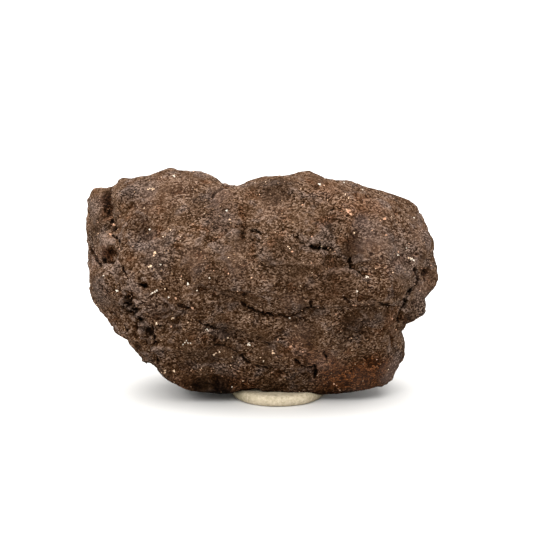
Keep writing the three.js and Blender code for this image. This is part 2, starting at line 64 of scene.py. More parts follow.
# ---- Stone: its form ----
# One piece of weathered chondrite. Its lumps, ledges and clefts are the solid's
# own; here the flats between its corners are rounded off and it is given a mesh
# fine enough for cracks and grain.
CELL = 0.42  # mm between corners of the fine mesh
LEAN = math.radians(13)  # the stone leans back on its pad by this much
SHIFT = 3.5  # and is brought this far forward over it

# From the stone standing upright, broad face square to Y, to where it rests.
upright_to_rest = Matrix.Rotation(-LEAN, 4, "X") @ Matrix.Translation((0, -SHIFT, 0))
rest_to_upright = upright_to_rest.inverted()


def new_object(name, mesh):
    made = bpy.data.objects.new(name, mesh)
    bpy.context.scene.collection.objects.link(made)
    return made


def plain_mesh(piece):
    """The piece's mesh as its modifiers leave it, put in place of its own."""
    evaluated = piece.evaluated_get(bpy.context.evaluated_depsgraph_get())
    mesh = bpy.data.meshes.new_from_object(evaluated)
    piece.modifiers.clear()
    piece.data = mesh
    return piece


def merged_copy(node, name):
    """A copy of a solid's mesh whose loose triangles are joined at their corners."""
    shell = bmesh.new()
    shell.from_mesh(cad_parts[node].data)
    bmesh.ops.remove_doubles(shell, verts=shell.verts, dist=0.001 * MM)
    mesh = bpy.data.meshes.new(name)
    shell.to_mesh(mesh)
    shell.free()
    return new_object(name, mesh)


stone = merged_copy("stone", "weathered_stone")
rounding = stone.modifiers.new("rounding", "SUBSURF")
rounding.levels = 2
rounding.render_levels = 2
even = stone.modifiers.new("even", "REMESH")
even.mode = "VOXEL"
even.voxel_size = CELL * MM
settle = stone.modifiers.new("settle", "SMOOTH")
settle.factor = 0.5
settle.iterations = 3
plain_mesh(stone)


# ---- Stone: cracks and pits ----
# The open cracks, ledges, hairlines, pits and knobs that the stone is known by.
# They are drawn as [x, z] in mm on the upright plane through the stone, and laid
# on the surface as the camera sees it, or straight from behind for the far side.

# Each crack's half width, depth, lip, shade and path. The lip is how far the stone
# on the left hand of the path stands out over the stone on its right, the shade is
# how much painted shade darkens the crack inside, and a negative depth is a raised ridge.
CRACKS = {
    "front": [
        # The block's edge over the standing lobe, and the pocket at the lobe's foot.
        (0.16, 0.4, 0.8, 0.35, [
            (-32.9, 41.4), (-32.8, 40.0), (-32.7, 38.4), (-32.7, 36.8), (-32.9, 35.6)]),
        (0.17, 0.5, 0, 0.9, [(-33.2, 33.0), (-32.5, 33.1), (-31.8, 33.3)]),
        (0.22, 0.6, 0.4, 1, [
            (-33.1, 31.7), (-32.3, 31.5), (-31.7, 31.2), (-31.5, 30.3), (-31.7, 29.4), (-32.2, 28.8)]),
        (0.26, 0.7, -0.6, 1, [
            (-35.2, 27.2), (-34.9, 26.7), (-34.2, 26.4), (-33.3, 26.5), (-32.5, 26.8), (-32.2, 27.6)]),
        (0.14, 0.4, 0, 0.5, [(-31.6, 28.7), (-31.0, 29.5), (-30.4, 30.6), (-30.2, 31.6)]),
        (0.16, 0.45, -0.7, 0.65, [
            (-38.4, 29.6), (-37.6, 29.0), (-37.0, 28.2), (-36.4, 26.9), (-35.7, 26.1), (-35.1, 26.2)]),
        (0.26, 0.7, 0, 0.8, [(-31.2, 25.8), (-31.0, 24.9), (-30.5, 24.1)]),
        (0.3, -0.35, 0, 1, [(-31.6, 27.8), (-30.7, 29.2), (-30.0, 30.3), (-29.1, 31.3)]),
        (0.35, -0.5, 0, 1, [(-30.8, 37.9), (-29.4, 38.6), (-27.9, 39.0), (-26.2, 38.9)]),
        (0.3, -0.45, 0, 1, [(-28.6, 36.7), (-27.0, 36.3), (-26.0, 35.5), (-24.9, 34.4)]),
        (0.32, 0.9, 0, 1, [(-27.6, 22.3), (-27.0, 21.8), (-26.2, 21.5)]),
        # The furrow down the left end.
        (0.2, 0.7, 0, 1, [(-30.8, 20.0), (-30.6, 19.2), (-30.4, 18.3), (-29.9, 17.5)]),
        (0.26, 0.9, 0, 1, [
            (-29.4, 20.5), (-29.5, 19.6), (-29.5, 18.6), (-29.2, 17.6), (-28.9, 16.8), (-28.5, 15.8),
            (-28.2, 15.2)]),
        (0.28, 0.9, 0, 1, [(-27.9, 14.9), (-27.2, 14.7), (-26.5, 14.5)]),
        (0.24, 0.9, 0, 1, [(-25.2, 14.0), (-25.1, 13.2), (-25.0, 12.4)]),
        (0.18, 0.6, 0, 0.8, [(-24.9, 12.2), (-24.8, 11.2), (-24.9, 10.0)]),
        (0.2, 0.6, 0, 1, [(-24.2, 13.8), (-23.4, 13.5)]),
        (0.16, 0.5, 0, 0.7, [(-30.6, 14.1), (-30.4, 13.4), (-30.0, 12.7)]),
        (0.13, 0.3, 0, 0.5, [(-23.4, 13.5), (-22.2, 13.1), (-20.6, 13.2), (-19.4, 13.9)]),
        (0.17, 0.5, 0, 0.8, [(-24.4, 8.0), (-24.1, 7.2), (-23.9, 6.4)]),
        # Beside the round chondrule.
        (0.13, 0.4, 0, 0.7, [(-24.0, 20.8), (-23.3, 20.0), (-22.4, 19.3)]),
        (0.3, -0.3, 0, 1, [(-23.2, 19.9), (-21.8, 18.3), (-20.4, 17.0), (-18.8, 15.9)]),
        (0.18, 0.5, 0, 0.9, [(-19.9, 19.6), (-19.3, 18.9), (-18.7, 18.4)]),
        (0.26, 0.7, 0, 0.8, [(-20.2, 18.0), (-19.3, 17.4), (-18.3, 17.3), (-17.5, 17.3)]),
        (0.18, 0.6, 0, 1, [(-17.6, 18.5), (-17.1, 18.1), (-16.7, 17.3)]),
        # The overhung crack in the upper right, with its lower branch.
        (0.13, 0.3, 0.4, 0.5, [(3.6, 32.2), (3.8, 31.6), (4.2, 30.9)]),
        (0.14, 0.35, 0.4, 0.6, [(4.4, 30.8), (5.0, 30.4), (5.6, 30.3)]),
        (0.58, 1.4, 0.5, 1, [(6.2, 29.7), (7.0, 29.6), (8.0, 29.6), (8.8, 29.6)]),
        (0.42, 1.2, 0.4, 1, [(8.8, 29.6), (9.8, 29.4), (10.6, 29.2), (11.3, 29.0)]),
        (0.12, 0.3, 0.3, 0.5, [(11.3, 28.8), (12.2, 27.8), (12.9, 27.3), (14.0, 27.2)]),
        (0.38, 1.2, 0, 1, [(14.6, 27.4), (14.3, 26.7), (14.5, 25.9), (14.8, 25.2)]),
        (0.22, 0.9, 0, 1, [(14.9, 25.3), (15.5, 25.0), (16.2, 24.7), (17.0, 24.0), (17.4, 23.7)]),
        (0.12, 0.25, 0, 0.5, [(15.0, 27.4), (17.1, 27.4), (18.6, 28.1), (20.3, 28.5), (21.6, 29.1)]),
        # Under the overhang of the upper middle.
        (0.26, 0.8, 0.4, 1, [(-5.5, 32.9), (-4.8, 32.9), (-4.1, 32.6), (-3.4, 32.1)]),
        (0.14, 0.4, 0, 0.8, [(-5.8, 31.5), (-5.4, 31.2), (-4.9, 30.8)]),
        (0.13, 0.3, 0, 0.6, [(5.0, 36.8), (5.8, 36.2), (6.9, 35.5)]),
        (0.2, 0.4, 0, 0.8, [(10.4, 37.3), (11.4, 37.2)]),
        (0.25, -0.25, 0, 1, [(9.8, 36.5), (11.0, 36.6), (12.4, 36.6)]),
        (0.15, 0.35, 0, 0.7, [(13.3, 36.0), (13.9, 35.7), (14.5, 35.7)]),
        # Where the left lobe passes behind the middle at the saddle.
        (0.2, 0.3, -0.6, 0.4, [(-13.2, 39.2), (-12.5, 40.2), (-11.4, 41.0), (-10.2, 41.4), (-9.2, 41.5)]),
        # The long ledge across the middle.
        (0.14, 0.35, 0, 0.55, [
            (-13.4, 21.9), (-12.4, 21.1), (-11.6, 20.5), (-10.4, 19.9), (-9.0, 19.5), (-7.9, 18.9)]),
        (0.12, 0.25, 0, 0.4, [(-15.6, 20.2), (-14.4, 20.3), (-13.1, 20.2)]),
        (0.24, 0.8, -0.2, 1, [(-7.3, 18.5), (-6.8, 18.1), (-6.2, 17.7)]),
        (0.17, 0.5, -0.2, 1, [(-6.2, 17.6), (-5.4, 17.2), (-4.4, 16.9), (-3.4, 16.5)]),
        (0.25, 0.8, -0.25, 1, [(-3.5, 16.6), (-2.6, 16.2), (-1.6, 16.0), (-0.5, 15.8)]),
        (0.13, 0.4, -0.2, 0.6, [(-0.5, 15.8), (0.7, 16.0), (1.9, 15.5), (3.1, 16.0), (4.6, 16.6)]),
        (0.19, 0.6, -0.2, 1, [(4.4, 16.5), (5.6, 17.2), (6.6, 17.5)]),
        (0.3, 0.9, 0, 1, [(6.4, 18.8), (6.6, 18.2), (6.7, 17.6)]),
        (0.17, 0.5, 0, 1, [(6.7, 17.5), (7.7, 17.4), (9.3, 17.3)]),
        (0.15, 0.4, 0, 0.6, [(9.3, 17.3), (11.2, 17.4), (12.2, 17.2), (14.8, 17.7)]),
        (0.22, 0.7, 0, 1, [(13.1, 19.4), (13.8, 18.9), (14.5, 18.3)]),
        (0.16, 0.4, 0, 0.7, [(15.8, 17.7), (17.6, 17.6), (19.2, 18.2)]),
        (0.36, 1.0, 0.3, 1, [(19.8, 18.6), (20.8, 18.4), (21.6, 18.2), (22.4, 18.0)]),
        (0.24, 0.7, 0.3, 1, [(22.4, 18.0), (23.4, 17.8), (24.3, 17.9)]),
        # The bedding cracks of the lower front.
        (0.15, 0.5, 0, 1, [(-16.0, 14.6), (-15.2, 14.4), (-14.4, 14.2)]),
        (0.36, 0.9, 0.2, 1, [(-14.6, 14.2), (-13.4, 14.0), (-12.6, 13.6), (-11.7, 13.2)]),
        (0.12, 0.22, -0.15, 0.3, [
            (-11.6, 13.1), (-10.8, 12.7), (-9.4, 12.3), (-8.0, 12.0), (-6.6, 11.3)]),
        (0.15, 0.4, 0, 0.8, [(-6.2, 11.0), (-5.5, 10.7), (-4.5, 10.4)]),
        (0.15, 0.4, 0, 0.8, [(-3.0, 10.4), (-2.2, 10.2), (-1.4, 10.1)]),
        (0.13, 0.3, -0.2, 0.5, [(-14.7, 8.2), (-13.9, 9.0), (-12.9, 9.7)]),
        (0.15, 0.4, -0.25, 0.7, [(-12.9, 9.8), (-11.6, 10.0), (-10.4, 9.8)]),
        (0.15, 0.4, -0.2, 0.7, [(-10.2, 9.7), (-9.1, 9.0), (-8.0, 8.4)]),
        (0.19, 0.6, -0.2, 1, [(-7.6, 8.0), (-7.0, 7.5), (-6.2, 6.8), (-5.6, 6.4)]),
        (0.14, 0.35, 0, 0.8, [(-5.4, 6.2), (-4.6, 5.9), (-2.6, 5.6), (-0.4, 5.5)]),
        (0.17, 0.4, 0, 1, [(1.7, 4.8), (2.6, 4.8), (3.6, 4.9)]),
        (0.18, -0.2, 0, 1, [(-18.9, 6.7), (-17.0, 7.0), (-14.8, 7.3)]),
        (0.15, 0.4, 0.3, 0.5, [(2.5, 8.7), (3.0, 8.0), (3.5, 7.4)]),
        (0.42, 1.1, 0.3, 1, [(3.4, 7.4), (3.9, 6.9), (4.3, 6.4)]),
        (0.3, 0.9, 0.3, 1, [(4.4, 6.3), (5.2, 5.9), (5.9, 5.7), (6.8, 5.7)]),
        (0.4, 1.2, 0, 1, [(7.3, 5.9), (7.5, 5.2), (7.4, 4.5), (7.2, 3.7)]),
        (0.26, 0.8, 0, 1, [(9.2, 8.6), (9.4, 8.1), (9.7, 7.5)]),
        (0.14, 0.4, 0, 1, [(9.7, 7.2), (9.8, 6.7)]),
        (0.12, 0.3, 0, 0.4, [(11.8, 12.8), (14.2, 12.2), (16.6, 12.6), (19.6, 12.0)]),
        # The cleft and cave behind the shoulder at the right end, and the rim above it.
        (0.32, 1.0, 0, 1, [(27.2, 25.3), (27.7, 24.8), (27.7, 23.9), (27.7, 22.9)]),
        (0.2, 0.6, 0, 0.7, [(29.1, 24.4), (29.2, 23.6), (28.9, 22.9)]),
        (0.27, 0.8, -0.3, 1, [(27.7, 22.9), (27.5, 22.0), (27.2, 21.5)]),
        (0.36, 1.1, -0.2, 1, [(27.1, 21.6), (26.4, 21.0), (25.9, 20.2), (25.5, 19.4)]),
        (0.32, 1.0, -0.2, 1, [(25.5, 19.4), (25.2, 18.6), (24.7, 17.9)]),
        (0.16, 0.5, 0, 0.6, [(24.3, 17.6), (24.0, 16.6), (24.2, 15.6), (24.4, 14.6)]),
        (0.24, -0.35, 0, 1, [
            (28.1, 33.8), (28.9, 32.5), (30.1, 31.2), (30.5, 30.0), (30.5, 28.6), (30.2, 27.4),
            (29.8, 26.6)]),
    ],
    "back": [
        # Bedding cracks and joints of the far side.
        (0.15, 0.5, 0.4, 0.7, [
            (-24.0, 24.0), (-21.6, 23.4), (-19.0, 22.2), (-16.4, 22.9), (-14.4, 22.4)]),
        (0.26, 0.9, 0.4, 1, [(-13.6, 22.3), (-11.8, 21.4), (-9.4, 21.5), (-7.8, 20.6)]),
        (0.13, 0.4, 0.3, 0.6, [(-7.6, 20.4), (-4.2, 20.8), (-1.6, 19.6), (1.2, 18.4)]),
        (0.22, 0.8, 0, 1, [(2.6, 18.6), (4.4, 17.8), (6.2, 18.3)]),
        (0.15, 0.5, 0, 0.7, [(-2.0, 33.0), (0.4, 32.4), (2.6, 30.9), (5.4, 31.4)]),
        (0.24, 0.9, 0, 1, [(7.4, 31.6), (9.2, 31.2), (10.8, 29.8), (13.2, 29.2)]),
        (0.14, 0.4, 0, 0.6, [(13.4, 29.0), (14.2, 27.4), (15.8, 26.2)]),
        (0.14, 0.5, 0, 0.7, [(-20.0, 12.0), (-17.4, 10.8), (-14.6, 11.2), (-12.0, 10.4)]),
        (0.2, 0.7, 0, 1, [(-7.2, 10.6), (-5.0, 9.4), (-2.4, 9.8)]),
        (0.3, 1.1, -0.4, 1, [(20.0, 20.0), (21.0, 17.0), (20.4, 13.6), (21.6, 10.0)]),
        (0.14, 0.5, 0, 1, [(-29.0, 34.0), (-25.0, 33.0), (-20.0, 34.0), (-14.0, 32.6)]),
        (0.14, 0.5, 0, 1, [(4.0, 12.4), (8.0, 11.2), (12.0, 11.8), (16.0, 10.4)]),
    ],
}
# Marks that are round rather than drawn out: x, z, radius, rise and shade, how much painted shade darkens
# a pit.
ROUND_MARKS = {
    "front": [
        # The recess down the standing lobe, its hole, the knob across it, the pocket below.
        (-33.6, 40.6, 0.8, -0.6, 0.3), (-33.9, 39.4, 1.5, -0.8, 0.6), (-33.9, 37.7, 1.5, -0.9, 0.6),
        (-34.0, 36.2, 1.2, -0.8, 0.5), (-33.3, 37.6, 0.6, -0.6, 0.8), (-33.3, 34.8, 0.5, -1.5, 1),
        (-34.6, 31.0, 1.4, 0.5, 1), (-32.9, 30.6, 0.7, 0.4, 1), (-33.3, 28.6, 1.7, -1.1, 0.45),
        (-32.6, 28.4, 0.6, -0.7, 0.7), (-34.9, 27.2, 0.45, -0.9, 1), (-33.9, 26.9, 0.55, -0.8, 1),
        (-32.8, 27.0, 0.45, -0.7, 1), (-29.4, 37.6, 0.7, -0.3, 1), (-21.3, 44.7, 1.6, 0.5, 1),
        # The rubble of the furrow down the left end.
        (-29.3, 18.1, 0.5, -1.0, 1), (-28.8, 16.7, 0.6, -1.2, 1), (-30.2, 18.6, 0.7, -1.0, 1),
        (-30.0, 16.8, 0.6, -0.9, 1), (-28.7, 12.0, 0.8, -0.7, 0.5), (-24.8, 11.6, 0.4, -0.7, 1),
        (-27.8, 14.9, 0.6, -1.0, 1), (-25.5, 12.4, 0.6, -1.0, 1), (-26.7, 21.8, 0.6, -0.9, 1),
        (-30.8, 17.4, 0.45, -0.8, 1), (-28.0, 15.2, 0.5, -0.8, 1), (-26.1, 13.1, 0.55, -1.3, 1),
        (-25.1, 13.2, 0.4, -0.9, 1), (-28.6, 13.7, 0.35, -0.6, 1), (-28.0, 9.4, 0.7, -0.6, 1),
        (-24.1, 6.9, 0.4, -0.9, 1), (-20.5, 19.3, 0.8, -0.4, 0.8),
        # Pits in the open face.
        (-7.2, 32.5, 0.8, -0.6, 1), (-6.8, 31.6, 0.5, -0.5, 1), (3.8, 31.8, 0.35, -0.4, 1),
        (18.6, 28.2, 0.35, -0.5, 1), (23.2, 26.9, 0.5, -0.5, 1), (-6.9, 19.8, 0.5, -0.8, 1),
        (-3.8, 11.4, 0.45, -0.7, 1), (-1.0, 11.3, 0.35, -0.5, 1), (16.5, 19.5, 0.35, -0.5, 1),
        (7.8, 41.8, 0.5, -0.6, 1), (3.7, 6.9, 0.55, -0.9, 1), (5.1, 38.9, 0.4, -0.5, 1),
        (15.5, 40.0, 0.4, -0.5, 1), (14.6, 30.6, 2.2, -0.5, 0.4), (8.6, 35.2, 1.8, -0.3, 0.4),
        (-26.8, 31.8, 2.0, -0.3, 0.3), (25.9, 33.8, 0.9, -0.3, 0.8),
        # Behind the shoulder at the right end.
        (28.5, 24.4, 1.3, -0.5, 0.5), (27.6, 25.2, 0.5, -1.0, 1), (29.2, 24.7, 0.7, -1.0, 0.9),
        (30.4, 25.9, 0.8, 0.4, 1), (26.2, 20.6, 0.45, -0.7, 1), (25.4, 19.0, 0.4, -0.7, 1),
        (24.4, 15.6, 1.0, -0.7, 0.6), (30.7, 27.1, 0.4, -0.4, 1), (26.8, 18.4, 0.6, -0.3, 1),
    ],
    "back": [
        # Hollows and pits of the far side.
        (-12.0, 28.0, 2.4, -0.7, 0.3), (6.0, 25.0, 1.8, -0.6, 0.3), (-22.0, 17.0, 1.0, -0.9, 1),
        (14.0, 34.0, 1.2, -0.8, 1), (-6.0, 14.6, 0.8, -0.8, 1),
    ],
}
# Zones where the stone has crumbled into rubble: x, z, radius, and how far gone.
RUBBLE = {
    "front": [
        (-27.0, 15.0, 7.5, 0.4), (-33.5, 24.0, 4.5, 0.35), (-18.5, 14.5, 4.0, 0.25),
        (-33.6, 28.6, 1.8, 0.6), (-30.2, 18.6, 2.2, 1.0), (-28.6, 16.0, 2.4, 1.0),
        (-26.6, 13.4, 2.4, 1.0), (-25.8, 10.4, 2.2, 0.8), (-25.4, 8.0, 2.0, 0.6),
        (-27.0, 22.6, 1.8, 0.6), (-31.0, 25.2, 1.8, 0.6), (-18.6, 17.6, 1.8, 0.4),
        (28.6, 24.4, 1.6, 0.5), (24.2, 16.4, 2.4, 0.5), (-6.4, 32.2, 2.2, 0.5), (7.4, 5.0, 2.0, 0.4),
    ],
    "back": [
        (21.0, 14.0, 4.0, 0.6), (-27.0, 27.0, 4.0, 0.6),
    ],
}

STEP = 0.1  # mm between points of a crack
WANDER = 0.2  # mm that a crack strays from its drawn line
WANDER_WAVE = 1.4
GAPE = 0.8  # of its width that a crack gapes and narrows
GAPE_WAVE = 0.8  # mm along a crack from where it gapes to where it nearly shuts
LEAST_GAPE = 0.65
STRAY_SLICE = 7  # of the noise, apart from the one that cracks gape by
GAPE_SLICE = 19
TIP_WIDTH = 0.35  # of its width that a crack keeps at its ends
TIP_WIDENING = 5  # how fast it widens away from them
SHALLOW = 0.3  # of its depth that the narrowest crack keeps
GROOVE = 0.26  # half width in mm of the narrowest groove that the mesh can show
REFINED = 0.9  # mm on each side of a crack where the mesh is finer
FRAY = 0.24  # mm that the edges of a crack or pit are ragged
FRAY_WAVE = 0.9
SEED = 5  # of the way that cracks stray and fray
LIP_REACH = 1.2  # mm over which the raised side of a crack dies away
MARK_REACH = 3  # radii from a round mark's middle where it has died away
RUBBLE_REACH = 2
FLARE = 0.3  # of the surface's own normal in the way that marks stand out
SET_BACK = {"front": 0, "back": 1000}  # mm that marks are moved, to keep the far side's apart


class Surface:
    """The stone's surface as it stands, to lay drawn marks on."""

    def __init__(self, mesh):
        self.points = [vertex.co.copy() for vertex in mesh.vertices]
        self.normals = [vertex.normal.copy() for vertex in mesh.vertices]
        corners = [tuple(face.vertices) for face in mesh.polygons]
        self.tree = BVHTree.FromPolygons(self.points, corners)

    def under(self, x, z):
        """The point of the broad face that a drawn [x, z] falls on, or None if it misses."""
        drawn = upright_to_rest @ Vector((x, 0, z)) * MM
        return self.tree.ray_cast(camera.location, (drawn - camera.location).normalized())[0]

    def drawn(self, index):
        """Where a point of the surface falls on the drawing: x and z, set back if it faces away."""
        point = rest_to_upright @ (self.points[index] / MM)
        if self.normals[index].dot(camera.location - self.points[index]) < 0:
            return Vector((point.x, point.z, SET_BACK["back"]))
        eye = rest_to_upright @ (camera.location / MM)
        spot = eye.lerp(point, eye.y / (eye.y - point.y))
        return Vector((spot.x, spot.z, 0))

    def outward(self, index):
        """Which way marks stand out: towards the camera where it sees them, or else the normal."""
        to_camera = camera.location - self.points[index]
        if self.normals[index].dot(to_camera) < 0:
            return self.normals[index]
        return (to_camera.normalized() + FLARE * self.normals[index]).normalized()


def crack_points():
    """Points along every crack: where drawn, half width, depth, left hand, lip and shade."""
    found = []
    rows = [(side, *row) for side, cracks in CRACKS.items() for row in cracks]
    for side, half, full_depth, lip, shade, drawn_path in rows:
        path = [Vector((x, z, SET_BACK[side])) for x, z in drawn_path]
        lengths = [(b - a).length for a, b in zip(path, path[1:])]
        count = max(4, round(sum(lengths) / STEP))
        for i in range(count + 1):
            run = sum(lengths) * i / count
            leg = 0
            while leg < len(lengths) - 1 and run > lengths[leg]:
                run -= lengths[leg]
                leg += 1
            spot = path[leg].lerp(path[leg + 1], min(run / lengths[leg], 1))
            stray = noise.noise_vector(Vector((spot.x, spot.y, STRAY_SLICE)) / WANDER_WAVE) * WANDER
            taper = min(1, TIP_WIDTH + TIP_WIDENING * min(i, count - i) / count)
            swell = noise.noise(Vector((spot.x, spot.y, GAPE_SLICE)) / GAPE_WAVE)
            gape = max(LEAST_GAPE, 1 + GAPE * swell)
            onward = (path[leg + 1] - path[leg]).normalized()
            left_hand = Vector((-onward.y, onward.x, 0))
            depth = full_depth * taper * min(1, SHALLOW + (1 - SHALLOW) * half / GROOVE)
            middle = spot + Vector((stray.x, stray.y, 0))
            found.append((middle, half * gape * taper, depth, left_hand, lip * taper, shade))
    return found


def refine_near(mesh, lines, reach):
    """Halves the mesh's edges within reach of the drawn lines."""
    surface = Surface(mesh)
    near = [lines.find(surface.drawn(i))[2] < reach for i in range(len(mesh.vertices))]
    shell = bmesh.new()
    shell.from_mesh(mesh)
    close = [edge for edge in shell.edges if near[edge.verts[0].index] and near[edge.verts[1].index]]
    bmesh.ops.subdivide_edges(shell, edges=close, cuts=1, use_grid_fill=True)
    bmesh.ops.triangulate(shell, faces=[face for face in shell.faces if len(face.verts) > 4])
    shell.to_mesh(mesh)
    shell.free()


noise.seed_set(SEED)
cracks = crack_points()
lines = KDTree(len(cracks))
for i, crack in enumerate(cracks):
    lines.insert(crack[0], i)
lines.balance()
refine_near(stone.data, lines, REFINED)

surface = Surface(stone.data)
places = []  # where each point falls on the drawing
sunk = []  # mm that the surface is cut back, away from the camera
raised = []  # mm that it is raised, along its normal
# The next list holds how much painted shade darkens each point inside a crack.
crack_shade = []  # how deep in a crack each point is, 0 to 1
beside = []  # how far it is from the middle of the crack, in its half widths, left hand positive
for i, point in enumerate(surface.points):
    fray = noise.noise_vector(point / MM / FRAY_WAVE) * FRAY
    places.append(surface.drawn(i) + Vector((fray.x, fray.z, 0)))
    index, away = lines.find(places[-1])[1:]
    spot, half, depth, left_hand, lip, shade = cracks[index]
    across = (places[-1] - spot).dot(left_hand)
    share = math.exp(-((away / max(half, GROOVE)) ** 2))
    sunk.append(share * max(0, depth))
    raised.append(share * max(0, -depth) + (lip * math.exp(-away / LIP_REACH) if across > 0 else 0))
    crack_shade.append(share * shade if depth > 0 else 0.0)
    beside.append(across / half)

place_tree = KDTree(len(places))
for i, place in enumerate(places):
    place_tree.insert(place, i)
place_tree.balance()
# The pits list holds how much painted shade darkens each point inside a pit.
pits = [0.0] * len(places)  # how deep in a pit each point is, 0 to 1
rubble = [0.0] * len(places)  # how far the stone has crumbled, 0 to 1
for side, marks in ROUND_MARKS.items():
    for x, z, radius, rise, shade in marks:
        spot = Vector((x, z, SET_BACK[side]))
        for _, i, away in place_tree.find_range(spot, MARK_REACH * radius):
            share = math.exp(-(away / radius) ** 2)
            sunk[i] += max(0, -rise) * share
            raised[i] += max(0, rise) * share
            pits[i] = max(pits[i], -rise * shade * share)
for side, zones in RUBBLE.items():
    for x, z, radius, gone in zones:
        spot = Vector((x, z, SET_BACK[side]))
        for _, i, away in place_tree.find_range(spot, RUBBLE_REACH * radius):
            rubble[i] = max(rubble[i], gone * math.exp(-(away / radius) ** 4))
for name, values in [("sunk", sunk), ("raised", raised), ("crack", crack_shade), ("beside", beside),
                     ("pit", pits), ("rubble", rubble)]:
    stone.data.attributes.new(name, "FLOAT", "POINT").data.foreach_set("value", values)
inward = [-part for i in range(len(places)) for part in surface.outward(i)]
stone.data.attributes.new("inward", "FLOAT_VECTOR", "POINT").data.foreach_set("vector", inward)


# ---- Stone: weathered surface ----
# The stone breaks along thin uneven layers and its sandy grain stands out where
# it has weathered. Geometry Nodes raise that relief, sink the cracks, and note
# for the finish how high each point stands.
class Wire:
    """A node's socket that does sums: 2 * wire + 1 adds the Math nodes."""

    def __init__(self, tree, socket):
        self.tree = tree
        self.socket = socket

    def __add__(self, other):
        return self.tree.math("ADD", self, other)

    def __sub__(self, other):
        return self.tree.math("SUBTRACT", self, other)

    def __rsub__(self, other):
        return self.tree.math("SUBTRACT", other, self)

    def __mul__(self, other):
        return self.tree.math("MULTIPLY", self, other)

    def __truediv__(self, other):
        return self.tree.math("DIVIDE", self, other)

    def __pow__(self, other):
        return self.tree.math("POWER", self, other)

    def __neg__(self):
        return self.tree.math("MULTIPLY", self, -1)

    __radd__ = __add__
    __rmul__ = __mul__


class Tree:
    """A node tree, of a material or of Geometry Nodes, written as expressions."""

    def __init__(self, nodes):
        self.nodes = nodes

    def node(self, kind, settings=None, values=None, output=0):
        """Adds a node: its settings first, then the values or wires of its sockets."""
        made = self.nodes.nodes.new(kind)
        for name, value in (settings or {}).items():
            if name == "stops":
                for stop in made.color_ramp.elements[1:]:
                    made.color_ramp.elements.remove(stop)
                for i, (place, colour) in enumerate(value):
                    stop = made.color_ramp.elements[0] if i == 0 else made.color_ramp.elements.new(place)
                    stop.position = place
                    stop.color = colour
            else:
                setattr(made, name, value)
        for name, value in (values or {}).items():
            self.feed(made.inputs[name], value)
        return Wire(self, made.outputs[output]) if made.outputs else made

    def feed(self, socket, value):
        if isinstance(value, Wire):
            self.nodes.links.new(value.socket, socket)
        else:
            socket.default_value = value

    def math(self, operation, *values):
        return self.node("ShaderNodeMath", {"operation": operation}, dict(enumerate(values)))

    def vector(self, operation, *values, output=0):
        return self.node("ShaderNodeVectorMath", {"operation": operation}, dict(enumerate(values)), output)

    def scaled(self, vector, factor):
        made = self.vector("SCALE", vector)
        self.feed(made.socket.node.inputs["Scale"], factor)
        return made

    def between(self, value, low, high):
        """0 below low, 1 above high, and smooth from one to the other."""
        values = {"Value": value, "From Min": low, "From Max": high}
        return self.node("ShaderNodeMapRange", {"interpolation_type": "SMOOTHSTEP"}, values)

    def attribute(self, name, kind="FLOAT"):
        """A value kept on the mesh under this name."""
        if self.nodes.bl_idname == "GeometryNodeTree":
            return self.node("GeometryNodeInputNamedAttribute", {"data_type": kind}, {"Name": name})
        return self.node("ShaderNodeAttribute", {"attribute_name": name}, {}, 2)

    def store(self, geometry, name, value):
        """The geometry with this value kept on it, in Geometry Nodes."""
        values = {"Geometry": geometry, "Name": name, "Value": value}
        settings = {"data_type": "FLOAT", "domain": "POINT"}
        return self.node("GeometryNodeStoreNamedAttribute", settings, values)

    def noise(self, place, wave, detail=2.0, roughness=0.5, output=0):
        """Noise of the given wave, in the units of place, mostly between -1 and 1."""
        values = {"Vector": place, "Scale": 1 / wave, "Detail": detail, "Roughness": roughness}
        return self.node("ShaderNodeTexNoise", {}, values, output) * 6 - 3


def geometry_tree(name, inputs):
    """A Geometry Nodes tree with a geometry in and out, and the named number inputs."""
    nodes = bpy.data.node_groups.new(name, "GeometryNodeTree")
    nodes.interface.new_socket("Geometry", in_out="INPUT", socket_type="NodeSocketGeometry")
    nodes.interface.new_socket("Geometry", in_out="OUTPUT", socket_type="NodeSocketGeometry")
    for label, value in inputs.items():
        kind = "NodeSocketObject" if isinstance(value, bpy.types.Object) else "NodeSocketFloat"
        nodes.interface.new_socket(label, in_out="INPUT", socket_type=kind)
    tree = Tree(nodes)
    group_input = nodes.nodes.new("NodeGroupInput")
    tree.given = {socket.name: Wire(tree, socket) for socket in group_input.outputs if socket.name}
    return tree


def finish_tree(tree, geometry):
    group_output = tree.nodes.nodes.new("NodeGroupOutput")
    tree.feed(group_output.inputs[0], geometry)


def run_tree(piece, tree, inputs):
    """Runs the tree on the piece and leaves the result as a plain mesh."""
    modifier = piece.modifiers.new(tree.nodes.name, "NODES")
    modifier.node_group = tree.nodes
    for item in tree.nodes.interface.items_tree:
        if item.in_out == "INPUT" and item.name in inputs:
            modifier[item.identifier] = inputs[item.name]
    return plain_mesh(piece)


weather_inputs = {
    "Lump height": 0.14,
    "Facet height": 0.13,
    "Chip height": 0.1,
    "Rubble height": 1.4,
    "Flake height": 0.16,
    "Grain height": 0.05,
    "Sand height": 0.03,
    "Growth": 0.05,
}
weather = geometry_tree("weathering", weather_inputs)
given = weather.given
at_rest = weather.vector("MULTIPLY", weather.node("GeometryNodeInputPosition"), (1 / MM,) * 3)
about_x = {"rotation_type": "X_AXIS"}
turned = weather.node("ShaderNodeVectorRotate", about_x, {"Vector": at_rest, "Angle": LEAN})
place = weather.vector("ADD", turned, (0, SHIFT, 0))
height_z = weather.node("ShaderNodeSeparateXYZ", {}, {0: place}, 2)
normal = weather.node("GeometryNodeInputNormal")

# Broad lumps.
lumps = weather.noise(place, 5.0, 1.5)
